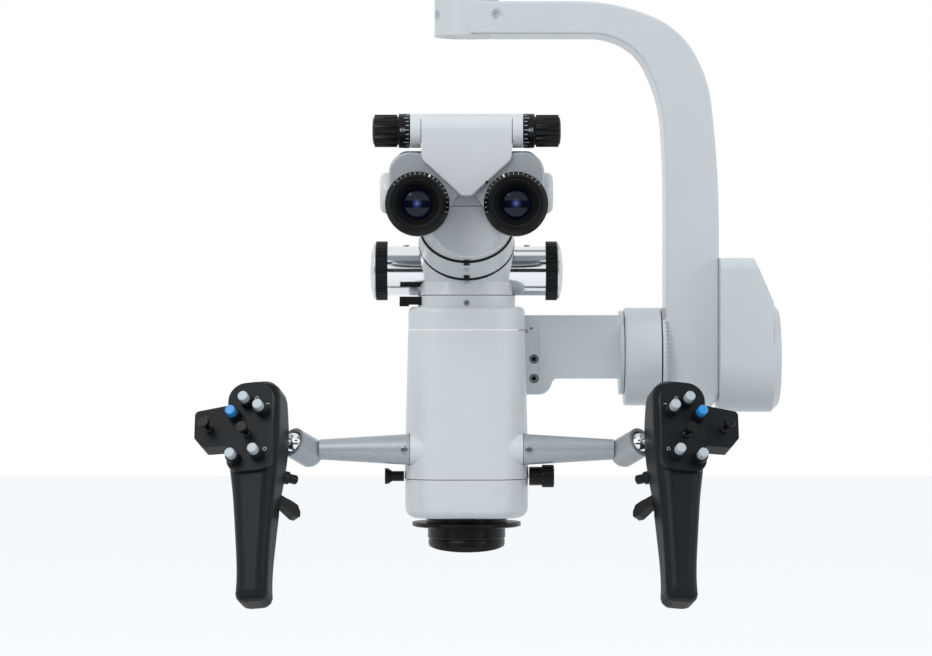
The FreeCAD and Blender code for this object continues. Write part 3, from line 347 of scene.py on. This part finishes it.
def softenEdges(piece, width, angle=35, steps=2):
    settle(piece)
    bevel = piece.modifiers.new("softEdges", "BEVEL")
    bevel.width = width * mm
    bevel.segments = steps
    bevel.limit_method = "ANGLE"
    bevel.angle_limit = radians(angle)
    bpy.ops.object.modifier_apply(modifier=bevel.name)


def joinPieces(pieces):
    startPiece()
    for piece in pieces:
        piece.select_set(True)
    bpy.context.view_layer.objects.active = pieces[0]
    bpy.ops.object.join()
    return bpy.context.object


def finishPiece(piece, name, slotName, body, smooth=30):
    # the slot's finish, unless the piece has one of its own
    settle(piece)
    piece.name = name
    piece.data.name = name
    if not piece.data.materials:
        piece.data.materials.append(finishes[slotName])
    bpy.ops.object.mode_set(mode="EDIT")
    bpy.ops.mesh.select_all(action="SELECT")
    bpy.ops.mesh.normals_make_consistent(inside=False)
    bpy.ops.object.mode_set(mode="OBJECT")
    bpy.ops.object.shade_smooth_by_angle(angle=radians(smooth))
    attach(piece, body)
    return piece


def towards(node, x, z):
    # where a look along +Y at (x, z) meets a CAD node, and the way that place faces
    found, place, normal, face = nodes[node].ray_cast(point(x, -400, z), Vector((0, 1, 0)))
    if not found:
        raise RuntimeError(f"nothing of {node} at {x}, {z}")
    return place, normal


latheWeld = 0.00001  # metres; closes the ring and a tip of the outline


def lathe(corners, centre, axis, steps=72):
    # the outline (radius, height) in mm carried round the axis: a circle, extruded and resized at
    # each corner
    startPiece()
    radius, height = corners[0]
    bpy.ops.mesh.primitive_circle_add(vertices=steps, radius=radius * mm, location=(0, 0, height * mm))
    piece = bpy.context.object
    settle(piece)
    bpy.ops.object.mode_set(mode="EDIT")
    bpy.ops.mesh.select_mode(type="EDGE")
    bpy.ops.mesh.select_all(action="SELECT")
    for nextRadius, nextHeight in corners[1:] + corners[:1]:
        rise = (nextHeight - height) * mm
        bpy.ops.mesh.extrude_edges_move(TRANSFORM_OT_translate={"value": (0, 0, rise)})
        factor = nextRadius / radius
        bpy.ops.transform.resize(value=(factor, factor, 1), center_override=(0, 0, nextHeight * mm))
        radius, height = nextRadius, nextHeight
    bpy.ops.mesh.select_all(action="SELECT")
    bpy.ops.mesh.remove_doubles(threshold=latheWeld)
    bpy.ops.mesh.delete_loose()
    bpy.ops.mesh.select_all(action="SELECT")
    bpy.ops.mesh.normals_make_consistent(inside=False)
    bpy.ops.object.mode_set(mode="OBJECT")
    piece.location = centre
    piece.rotation_euler = turnFrom(axis)
    settle(piece)
    return piece


def grooved(radius, length, centre, axis, count, depth, share=2):
    # a rod with grooves along it: of every four lines of points, some go inwards
    piece = rod(radius, length, centre, axis, count * 4)
    settle(piece)
    along = Vector(axis).normalized()
    aside = turnFrom(axis).to_matrix() @ Vector((1, 0, 0))
    across = along.cross(aside)

    def inGroove(vertex):
        flat = vertex.co - Vector(centre)
        turn = atan2(flat.dot(across), flat.dot(aside)) / (2 * pi) * count * 4
        return round(turn) % 4 < share

    pickVertices(piece, inGroove)
    shrink = 1 - depth / radius
    keep = [1 if abs(part) > 0.5 else shrink for part in along]
    bpy.ops.transform.resize(value=keep, center_override=Vector(centre))
    bpy.ops.object.mode_set(mode="OBJECT")
    return piece


# Coupling of the tube: black rings in the two gaps as painted shade, index blocks and their grey spots
coupling = {
    "depth": -51.5,
    "height": -195.6,
    "lean": 50,
    "ring": 32.5,
    "shadeRingBore": 27,
    "shadeRingRound": 0.4,
    # black rings inside the two gaps stand for the shade in them: painted shade
    "gapShadeRings": {"neck_gap_shade_ring": (-1.3, 1.3, 32.8, "head"), "tube_gap_shade_ring": (16.1, 17.6, 32.3, "ring")},
    "blocks": {"neck_index_block": (2.2, (4.0, 2.4, 4.2), "ring"),
               "tube_index_block": (17.2, (4.2, 2.4, 3.2), "base")},
    "spots": {"ring_spot": (9.6, "ring"), "neck_spot": (-4.2, "head")},
    "spotRadius": 1.5,
    "spotHeight": 0.9,
    "spotSink": 0.1,
}
couplingLean = radians(coupling["lean"])
couplingCentre = point(0, coupling["depth"], coupling["height"])
couplingAxis = Vector((0, -sin(couplingLean), cos(couplingLean)))
couplingFront = Vector((0, -cos(couplingLean), -sin(couplingLean)))  # from the axis to the ring's front


# a black ring set inside a gap of the coupling, painted shade that makes the gap read dark
def couplingGapShadeRing(name, low, high, outer, body):
    part = coupling
    rise = high - low
    corner = part["shadeRingRound"]
    ring = lathe([(part["shadeRingBore"], 0), (outer - corner, 0), (outer, corner), (outer, rise - corner),
                  (outer - corner, rise), (part["shadeRingBore"], rise)],
                 couplingCentre + couplingAxis * low * mm, couplingAxis)
    finishPiece(ring, name, "black_anodised", body)


def couplingIndex(name, along, size, body):  # a small block over the gap, at the front of the ring
    centre = couplingCentre + couplingAxis * along * mm + couplingFront * coupling["ring"] * mm
    mark = block(size, centre, (couplingLean, 0, 0))
    softenEdges(mark, 0.25)
    finishPiece(mark, name, "black_plastic", body)


def couplingSpot(name, along, body):
    reach = coupling["ring"] - coupling["spotSink"]
    centre = couplingCentre + couplingAxis * along * mm + couplingFront * reach * mm
    spot = rod(coupling["spotRadius"], coupling["spotHeight"], centre, couplingFront, 32)
    softenEdges(spot, 0.2)
    finishPiece(spot, name, "grey_plastic", body)


for name, values in coupling["gapShadeRings"].items():
    couplingGapShadeRing(name, *values)
for name, values in coupling["blocks"].items():
    couplingIndex(name, *values)
for name, values in coupling["spots"].items():
    couplingSpot(name, *values)
print("coupling dressed")


# Knobs of the distance bar: scale ring with ticks and a number, fluted grip, domed end
pupilKnob = {
    "depth": -101,
    "height": -121.4,
    "scaleStart": 37.9,
    "scaleEnd": 45.5,
    "scaleRadius": 11.5,
    "boreRadius": 6,
    "neckRadius": 9.6,
    "neckLength": 1.1,
    "gripEnd": 61.6,
    "gripGap": 0.9,
    "endFace": 63.1,
    "gripRadius": 10.9,
    "flutes": 16,
    "fluteDepth": 0.9,
    "shaftRadius": 5.6,
    "tickTurn": 15,  # degrees
    "tickStart": 0.6,
    "shortTick": 2.0,
    "longTick": 3.4,
    "longTickTurn": 45,
    "tickWidth": 0.45,
    "tickHeight": 0.12,
    "number": "65",
    "numberSize": 3.4,
    "numberHeight": 0.06,
    "numberInset": 2.6,
}


def pupilPlace(side, reach):
    return point(side * reach, pupilKnob["depth"], pupilKnob["height"])


def scaleRing(name, side):
    knob = pupilKnob
    width = knob["scaleEnd"] - knob["scaleStart"]
    wide = knob["scaleRadius"]
    bore = knob["boreRadius"]
    neck = knob["neckRadius"]
    neckEnd = width + knob["neckLength"]
    scale = lathe([(bore, 0), (wide - 0.4, 0), (wide, 0.4), (wide, width - 0.5), (wide - 0.5, width),
                   (neck, width), (neck, neckEnd), (bore, neckEnd)],
                  pupilPlace(side, knob["scaleStart"]), (side, 0, 0))
    finishPiece(scale, f"{name}_scale_ring", "black_anodised", "pupil_drive")


def flutedGrip(name, side):
    knob = pupilKnob
    gripStart = knob["scaleEnd"] + knob["gripGap"]
    length = knob["gripEnd"] - gripStart
    grip = grooved(knob["gripRadius"], length, pupilPlace(side, gripStart + length / 2), (side, 0, 0),
                   knob["flutes"], knob["fluteDepth"])
    softenEdges(grip, 0.3, 50)
    finishPiece(grip, f"{name}_fluted_grip", "black_plastic", "pupil_drive")


def gripEnd(name, side):  # the low dome on the outer end
    knob = pupilKnob
    rise = knob["endFace"] - knob["gripEnd"]
    dome = lathe([(9.4, -0.5), (9.4, 0.3), (8.6, rise * 0.6), (6.0, rise * 0.9), (3, rise), (1, rise),
                  (1, -0.5)], pupilPlace(side, knob["gripEnd"]), (side, 0, 0))
    finishPiece(dome, f"{name}_grip_end", "black_plastic", "pupil_drive")


def scaleTicks(name, side):
    knob = pupilKnob
    ticks = []
    for turn in range(0, 360, knob["tickTurn"]):
        length = knob["longTick"] if turn % knob["longTickTurn"] == 0 else knob["shortTick"]
        out = Vector((0, -cos(radians(turn)), sin(radians(turn))))
        along = Vector((side * (knob["scaleStart"] + knob["tickStart"] + length / 2), 0, 0))
        place = pupilPlace(0, 0) + along * mm + out * knob["scaleRadius"] * mm
        size = (length, knob["tickWidth"], knob["tickHeight"])
        ticks.append(block(size, place, (radians(90 - turn), 0, 0)))
    finishPiece(joinPieces(ticks), f"{name}_scale_ticks", "grey_plastic", "pupil_drive")


def scaleNumber(name, side):
    knob = pupilKnob
    startPiece()
    bpy.ops.object.text_add()
    digits = bpy.context.object
    digits.data.body = knob["number"]
    digits.data.size = knob["numberSize"] * mm
    digits.data.align_x = "CENTER"
    digits.data.align_y = "CENTER"
    digits.data.extrude = knob["numberHeight"] * mm
    bpy.ops.object.convert(target="MESH")
    ahead = Vector((0, -knob["scaleRadius"] - 0.02, 0)) * mm
    digits.location = pupilPlace(side, knob["scaleEnd"] - knob["numberInset"]) + ahead
    digits.rotation_euler = (radians(90), 0, 0)
    finishPiece(digits, f"{name}_scale_number", "grey_plastic", "pupil_drive")


for name, side in sides.items():
    scaleRing(name, side)
    flutedGrip(name, side)
    gripEnd(name, side)
    scaleTicks(name, side)
    scaleNumber(name, side)
shaft = rod(pupilKnob["shaftRadius"], 2 * pupilKnob["scaleStart"], pupilPlace(0, 0), (1, 0, 0))
softenEdges(shaft, 0.4)
finishPiece(shaft, "pupil_shaft", "steel", "pupil_drive")
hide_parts("pupil_distance_knobs")
print("distance bar knobs made")


# Eyepieces: fine ticks and a white index on the bevel, raised beads on the eyecup and a domed lens
eyepiece = {
    "aside": eyeLens["aside"],
    "height": eyeLens["height"],
    "tickDepth": -142.6,
    "tickRadius": 19.95,
    "bevelOut": 0.73,  # how much the bevel faces outwards and ahead
    "bevelAhead": 0.68,
    "ticks": 18,
    "firstTurn": -16,  # degrees from the inner side upwards
    "tickStep": 9.2,
    "tickWidth": 0.3,
    "tickHeight": 0.16,
    "shortTick": 1.9,
    "longTick": 2.85,
    "longEvery": 4,
    "indexTurn": 66,
    "indexSize": (1.1, 2.6, 0.4),
    "beads": [(17.2, -153.6), (13.4, -152.4)],  # radius and depth
    "beadHeight": 2.2,
    "lensDepth": -145.0,
    "lensRadius": eyeLens["radius"],
    "lensRise": 1.5,
    "lensBack": -2.5,
    "lensTip": 0.004,  # small enough to be merged into a point
}


def eyepiecePlace(side, depth):
    return point(side * eyepiece["aside"], depth, eyepiece["height"])


def onBevel(side, turn, size):  # a flat mark that lies on the bevel
    dial = eyepiece
    angle = radians(turn)
    out = Vector((-side * cos(angle), 0, sin(angle)))
    ahead = Vector((0, -1, 0))
    normal = (out * dial["bevelOut"] + ahead * dial["bevelAhead"]).normalized()
    along = (ahead * dial["bevelOut"] - out * dial["bevelAhead"]).normalized()
    turned = Matrix((along.cross(normal), along, normal)).transposed().to_euler()
    return block(size, eyepiecePlace(side, dial["tickDepth"]) + out * dial["tickRadius"] * mm, turned)


def eyepieceMarks(name, side):
    dial = eyepiece
    ticks = []
    for number in range(dial["ticks"]):
        length = dial["shortTick"] if number % dial["longEvery"] else dial["longTick"]
        size = (dial["tickWidth"], length, dial["tickHeight"])
        ticks.append(onBevel(side, dial["firstTurn"] + number * dial["tickStep"], size))
    finishPiece(joinPieces(ticks), f"{name}_diopter_ticks", "grey_plastic", f"{name}_diopter")
    mark = onBevel(side, dial["indexTurn"], dial["indexSize"])
    softenEdges(mark, 0.1)
    mark.data.materials.append(finishes["white_mark"])
    finishPiece(mark, f"{name}_diopter_index", "white_paint", f"{name}_diopter")


def eyecupBeads(name, side):
    beads = []
    high = eyepiece["beadHeight"]
    for radius, depth in eyepiece["beads"]:
        outline = [(radius - 0.35, 0), (radius - 0.25, high), (radius + 0.25, high), (radius + 0.35, 0)]
        beads.append(lathe(outline, eyepiecePlace(side, depth), (0, -1, 0)))
    finishPiece(joinPieces(beads), f"{name}_eyecup_beads", "black_rubber", f"{name}_cup")


def domedLens(name, side):  # stands for the plain lens: its face is close to part of a sphere
    wide = eyepiece["lensRadius"]
    rise = eyepiece["lensRise"]
    back = eyepiece["lensBack"]
    tip = eyepiece["lensTip"]
    dome = [(step, rise * (1 - (step / wide) ** 2)) for step in (9.8, 8.5, 7, 5.5, 4, 2.5, 1.2)]
    face = lathe([(wide, back), (wide, -0.2)] + dome + [(tip, rise), (tip, back)],
                 eyepiecePlace(side, eyepiece["lensDepth"]), (0, -1, 0))
    finishPiece(face, f"{name}_domed_lens", "coated_glass", f"{name}_diopter", smooth=40)
    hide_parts(f"{name}_eye_lens")


for name, side in sides.items():
    eyepieceMarks(name, side)
    domedLens(name, side)
    eyecupBeads(name, side)
print("eyepieces marked")


# Screws: a softened head with its hexagonal socket cut out
def cutWith(piece, tool):  # takes the tool's shape out of the piece
    startPiece()
    piece.select_set(True)
    bpy.context.view_layer.objects.active = piece
    cut = piece.modifiers.new("cut", "BOOLEAN")
    cut.operation = "DIFFERENCE"
    cut.object = tool
    bpy.ops.object.modifier_apply(modifier=cut.name)
    bpy.data.objects.remove(tool)


def socketScrew(name, place, axis, size, body, slotName="steel"):
    # size: radius and height of the head, radius of its socket
    radius, height, key = size
    axis = Vector(axis).normalized()
    head = rod(radius, height, place + axis * height / 2 * mm, axis, 40)
    softenEdges(head, min(0.35, height * 0.3), 50)
    tool = rod(key, height * 1.2, place + axis * height * mm, axis, 6)
    settle(tool)
    cutWith(head, tool)
    finishPiece(head, name, slotName, body)


# Side knobs: knurled rim with a thin lip, and a set screw on each bright tube
sideKnob = {
    "depth": -35,
    "height": -214,
    "tubeEnd": 54.4,
    "rimEnd": 62.3,
    "rimRadius": 20.3,
    "ribs": 40,
    "ribDepth": 0.55,
    "lipRadius": 20.5,
    "lipWidth": 0.95,
    "lipBore": 12,
    "tubeRadius": 17.1,
    "shaftRadius": 5.8,
    "screwReach": 41.5,
    "screwSize": (2.1, 1.2, 1.1),
    "screwSink": 0.5,
}


def sideKnobPlace(side, reach):
    return point(side * reach, sideKnob["depth"], sideKnob["height"])


def knurledRim(name, side):
    knob = sideKnob
    width = knob["rimEnd"] - knob["tubeEnd"] - 1.0
    centre = sideKnobPlace(side, knob["tubeEnd"] + width / 2)
    rim = grooved(knob["rimRadius"], width, centre, (side, 0, 0), knob["ribs"], knob["ribDepth"])
    finishPiece(rim, f"{name}_knurled_rim", "black_anodised", "magnification")


def rimLip(name, side):
    knob = sideKnob
    wide = knob["lipRadius"]
    bore = knob["lipBore"]
    width = knob["lipWidth"]
    lip = lathe([(bore, 0), (wide - 0.3, 0), (wide, 0.25), (wide, 0.6), (wide - 0.5, width),
                 (bore, width)], sideKnobPlace(side, knob["rimEnd"] - width), (side, 0, 0))
    finishPiece(lip, f"{name}_rim_lip", "black_plastic", "magnification")


for name, side in sides.items():
    knurledRim(name, side)
    rimLip(name, side)
    rise = Vector((0, 0, sideKnob["tubeRadius"] - sideKnob["screwSink"])) * mm
    socketScrew(f"{name}_tube_set_screw", sideKnobPlace(side, sideKnob["screwReach"]) + rise, (0, 0, 1),
                sideKnob["screwSize"], "head")
shaft = rod(sideKnob["shaftRadius"], 2 * sideKnob["tubeEnd"], sideKnobPlace(0, 0), (1, 0, 0))
softenEdges(shaft, 0.4)
finishPiece(shaft, "magnification_shaft", "steel", "magnification")
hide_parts("magnification_knobs")


# Screws that show: node, across, height, head (radius, height, socket radius, sunk by), body
shownScrews = {
    "neck_screw": ("shoulder_cover", 0, -236.2, (2.0, 0.9, 1.0, 0.3), "head"),
    "left_pivot_screw": ("left_handle_arm", -42.4, -336.1, (2.5, 1.0, 1.3, 0.3), "left_arm"),
    "right_pivot_screw": ("right_handle_arm", 42.4, -336.1, (2.5, 1.0, 1.3, 0.3), "right_arm"),
    "bracket_small_screw": ("carrier_bracket", 45.0, -253.8, (1.0, 0.5, 0.5, 0.2), "head"),
    "bracket_edge_screw": ("carrier_bracket", 41.3, -255.7, (1.5, 0.5, 0.8, 0.2), "head"),
}


def screwOn(name, node, x, z, size, body, slotName="steel"):
    place, normal = towards(node, x, z)
    sink = size[3]
    socketScrew(name, place - normal * sink * mm, normal, size[:3], body, slotName)


for name, values in shownScrews.items():
    screwOn(name, *values)


# Arm: a copy of the node with the two conical locking holes of its hub cut in
armHoles = [(20.8, -36.4), (-20.6, -36.0)]  # across and height
holeSize = {"wide": 4.4, "narrow": 1.6, "depth": 5.0, "sunk": 2.3, "weld": 0.000005}


def holeTool(x, z):
    place, normal = towards("pendulum_arm", x, z)
    startPiece()
    bpy.ops.mesh.primitive_cone_add(vertices=48, radius1=holeSize["narrow"] * mm,
                                    radius2=holeSize["wide"] * mm, depth=holeSize["depth"] * mm,
                                    location=place - normal * holeSize["sunk"] * mm,
                                    rotation=turnFrom(normal))
    tool = bpy.context.object
    settle(tool)
    return tool


def armWithHoles():
    startPiece()
    arm = nodes["pendulum_arm"].copy()
    arm.data = nodes["pendulum_arm"].data.copy()
    bpy.context.scene.collection.objects.link(arm)
    arm.select_set(True)
    bpy.context.view_layer.objects.active = arm
    bpy.ops.object.mode_set(mode="EDIT")
    bpy.ops.mesh.select_all(action="SELECT")
    bpy.ops.mesh.remove_doubles(threshold=holeSize["weld"])
    bpy.ops.object.mode_set(mode="OBJECT")
    for x, z in armHoles:
        cutWith(arm, holeTool(x, z))
    finishPiece(arm, "arm_casting", "white_paint", "arm")
    weigh = arm.modifiers.new("faceNormals", "WEIGHTED_NORMAL")  # flat sides stay flat beside rounds
    weigh.keep_sharp = True
    bpy.ops.object.modifier_apply(modifier=weigh.name)
    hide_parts("pendulum_arm")


armWithHoles()


# Bracket: the heads of its two black screws
bracketScrews = {"across": 46.7, "heights": (-274.9, -288.4), "size": (1.9, 0.8, 1.0, 0.3)}
for row, height in enumerate(bracketScrews["heights"]):
    screwOn(f"bracket_screw_{row}", "bracket_screws", bracketScrews["across"], height,
            bracketScrews["size"], "head", "black_anodised")


# Shield: a small black pin at its sloping edge
shieldPin = {"place": (13.4, -110.6, -156.2), "radius": 1.0, "length": 3.8}
pin = rod(shieldPin["radius"], shieldPin["length"], point(*shieldPin["place"]), (0, -1, 0), 24)
softenEdges(pin, 0.35)
finishPiece(pin, "shield_pin", "black_plastic", "binocular")


# Light knob: ribs round its outer end
lightRibs = {
    "start": 51.5,
    "end": 59.4,
    "depth": -57,
    "height": -354.5,
    "radius": 7.7,
    "ribs": 20,
    "cut": 0.7,
}
middle = point((lightRibs["start"] + lightRibs["end"]) / 2, lightRibs["depth"], lightRibs["height"])
ribs = grooved(lightRibs["radius"], lightRibs["end"] - lightRibs["start"], middle, (1, 0, 0),
               lightRibs["ribs"], lightRibs["cut"])
softenEdges(ribs, 0.2, 50)
finishPiece(ribs, "light_knob_ribs", "black_anodised", "light")


# Objective: black front ring, its lower end slanting down in front
objective = {
    "depth": -35,
    "top": -398.2,
    "end": -402.9,
    "radius": 26.3,
    "bore": 23.5,
    "slant": 8.4,  # degrees
    "slantedPart": 1.5,  # height of the part that slants
}


def objectiveRing():
    part = objective
    centre = point(0, part["depth"], part["end"])
    rise = part["top"] - part["end"]
    wide = part["radius"]
    bore = part["bore"]
    ring = lathe([(bore, 0), (wide - 1.2, 0), (wide - 0.4, 0.4), (wide, 1.2), (wide, rise - 0.8),
                  (wide - 0.5, rise), (bore, rise)], centre, (0, 0, 1), 96)
    limit = centre.z + part["slantedPart"] * mm
    pickVertices(ring, lambda vertex: vertex.co.z < limit)
    tilt = radians(part["slant"])
    mesh = bmesh.from_edit_mesh(ring.data)
    for vertex in mesh.verts:
        if vertex.select:
            vertex.co.z += (vertex.co.y - centre.y) * sin(tilt)
    bmesh.update_edit_mesh(ring.data)
    bpy.ops.object.mode_set(mode="OBJECT")
    finishPiece(ring, "objective_front_ring", "black_anodised", "head", smooth=40)


objectiveRing()
print("side knobs, screws, arm and objective dressed")


# Grips: small pale signs beside the buttons
grip = {
    "place": (140, -90, -326.8),
    "lean": -25,
    "splay": 14,
    "panelDepth": -20.33,
    "ringSign": [(0.9, 0), (1.25, 0), (1.25, 0.12), (0.9, 0.12)],  # outline: radius and height
    "barSign": (2.2, 0.5, 0.12),
    "barLift": 0.03,
}
buttonSigns = {  # across, up and kind
    "top": (4.6, 19.4, "ring"),
    "inner": (12.4, 14.6, "bar"),
    "blue": (-13.8, 11.6, "ring"),
    "outer": (-13.4, -19.0, "bar"),
    "lower": (11.0, -18.0, "ring"),
}


def gripFrame(side):
    lean = Matrix.Rotation(radians(grip["lean"]), 4, "X")
    splay = Matrix.Rotation(radians(grip["splay"] * side), 4, "Z")
    x, y, z = grip["place"]
    return Matrix.Translation(point(x * side, y, z)) @ lean @ splay


def gripSigns(name, side):
    for label, (across, up, kind) in buttonSigns.items():
        spot = gripFrame(side) @ (Vector((-across * side, grip["panelDepth"], up)) * mm)
        facing = gripFrame(side).to_3x3() @ Vector((0, -1, 0))
        if kind == "ring":
            sign = lathe(grip["ringSign"], spot, facing, 32)
        else:
            sign = block(grip["barSign"], spot + facing * grip["barLift"] * mm, turnFrom(facing))
        finishPiece(sign, f"{name}_grip_sign_{label}", "grey_plastic", f"{name}_handle")


for name, side in sides.items():
    gripSigns(name, side)
print("grips dressed")


# Studio: white floor and background, soft lamps and the camera of the photograph
studio = {
    "floorHeight": -0.62,
    "floorSize": 12.0,
    "floorGlow": 0.47,  # lifts the pale floor to white where it is seen
    "floorHex": ("#C9CCCE", "#CDD0D2"),
    "floorGrain": 2.0,
    "clothRoughness": 0.9,  # of floor and cards
    "whiteHex": "#FFFFFF",
    "fillHex": "#F4F7FA",
    "fillStrength": 0.72,  # daylight from all round, on the object only
    "keyPower": 26.0,
    "keyPlace": (-1.1, -2.0, 1.3),
    "keySize": 1.3,  # metres
    "sidePower": 6.0,
    "sidePlace": (1.9, -1.2, 0.4),
    "sideSize": 1.0,
    "lampAim": (0, 0, -0.25),
    "cardDepth": -3.4,
    "cardWidth": 4.0,
    "cardHex": ("#26292C", "#303438"),
    "cardGrain": 3.0,
    "darkCards": [(-3.6, -1.7), (-0.75, 0.35), (1.6, 2.8)],  # heights of their lower and upper edges
}
camera = {"place": (-0.0004, -2.35, -0.2534), "lens": 129.7, "sensor": 36.0, "farEnd": 50}


def seenDirectly(tree, rays):  # 1 for what the camera or a reflection sees
    return addNode(tree, "ShaderNodeMath", {0: rays["Is Camera Ray"], 1: rays["Is Glossy Ray"]},
                   operation="MAXIMUM").outputs[0]


def whiteBackground(tree, lightStrength):
    # white to the camera and in reflections, lamp-like to everything else
    rays = addNode(tree, "ShaderNodeLightPath").outputs
    mirrored = seenDirectly(tree, rays)
    seen = addNode(tree, "ShaderNodeMath", {0: mirrored, 1: rays["Is Transmission Ray"]},
                   operation="MAXIMUM").outputs[0]
    white = addNode(tree, "ShaderNodeBackground", {
        "Color": linearColour(studio["whiteHex"]),
        "Strength": 1.0,
    }).outputs[0]
    fill = addNode(tree, "ShaderNodeBackground", {
        "Color": linearColour(studio["fillHex"]),
        "Strength": lightStrength,
    }).outputs[0]
    mix = addNode(tree, "ShaderNodeMixShader", {0: seen, 1: fill, 2: white}).outputs[0]
    addNode(tree, "ShaderNodeOutputWorld", {"Surface": mix})


def buildWorld():
    world = bpy.data.worlds.new("studioWorld")
    bpy.context.scene.world = world
    world.use_nodes = True
    world.node_tree.nodes.clear()
    whiteBackground(world.node_tree, studio["fillStrength"])


def buildFloor():
    bpy.ops.object.select_all(action="DESELECT")
    bpy.ops.mesh.primitive_plane_add(size=studio["floorSize"], location=(0, 0, studio["floorHeight"]))
    floor = bpy.context.object
    floor.name = "studioFloor"
    bpy.ops.object.transform_apply(location=True, rotation=True, scale=True)
    material, tree, place = startMaterial("paleFloor")
    speck = grain(tree, place, studio["floorGrain"])
    paint = addNode(tree, "ShaderNodeBsdfPrincipled", {
        "Base Color": twoTone(tree, speck, *studio["floorHex"]),
        "Roughness": studio["clothRoughness"],
    }).outputs[0]
    seen = seenDirectly(tree, addNode(tree, "ShaderNodeLightPath").outputs)
    glow = addNode(tree, "ShaderNodeEmission", {
        "Color": linearColour(studio["whiteHex"]),
        "Strength": addNode(tree, "ShaderNodeMath", {0: seen, 1: studio["floorGlow"]},
                            operation="MULTIPLY").outputs[0],
    }).outputs[0]
    both = addNode(tree, "ShaderNodeAddShader", {0: paint, 1: glow}).outputs[0]
    addNode(tree, "ShaderNodeOutputMaterial", {"Surface": both})
    floor.data.materials.append(material)


def addLamp(name, place, power, size):
    bpy.ops.object.select_all(action="DESELECT")
    bpy.ops.object.light_add(type="AREA", location=place)
    lamp = bpy.context.object
    lamp.name = name
    lamp.data.energy = power
    lamp.data.size = size
    aim = Vector(studio["lampAim"]) - Vector(place)
    lamp.rotation_euler = aim.to_track_quat("-Z", "Y").to_euler()


def addCamera():
    bpy.ops.object.select_all(action="DESELECT")
    bpy.ops.object.camera_add(location=camera["place"], rotation=(radians(90), 0, 0))
    view = bpy.context.object
    view.name = "photoCamera"
    view.data.sensor_fit = "HORIZONTAL"
    view.data.sensor_width = camera["sensor"]
    view.data.lens = camera["lens"]
    view.data.clip_end = camera["farEnd"]
    bpy.context.scene.camera = view


def addDarkCard(name, low, high):
    # seen only in reflections, for depth in the blacks and bands in the chrome
    bpy.ops.object.select_all(action="DESELECT")
    bpy.ops.mesh.primitive_plane_add(size=1, location=(0, studio["cardDepth"], (low + high) / 2),
                                     rotation=(radians(90), 0, 0))
    card = bpy.context.object
    card.name = name
    card.scale = (studio["cardWidth"], high - low, 1)
    bpy.ops.object.transform_apply(location=True, rotation=True, scale=True)
    material, tree, place = startMaterial(name + "Cloth")
    weave = grain(tree, place, studio["cardGrain"])
    finishMaterial(tree, {
        "Base Color": twoTone(tree, weave, *studio["cardHex"]),
        "Roughness": studio["clothRoughness"],
    })
    card.data.materials.append(material)
    for way in ("camera", "diffuse", "transmission", "shadow"):
        setattr(card, f"visible_{way}", False)


buildWorld()
buildFloor()
for number, (low, high) in enumerate(studio["darkCards"]):
    addDarkCard(f"darkCard{number}", low, high)
addLamp("keyLamp", studio["keyPlace"], studio["keyPower"], studio["keySize"])
addLamp("sideLamp", studio["sidePlace"], studio["sidePower"], studio["sideSize"])
addCamera()
bpy.context.scene.view_settings.view_transform = "Standard"
print("studio ready")
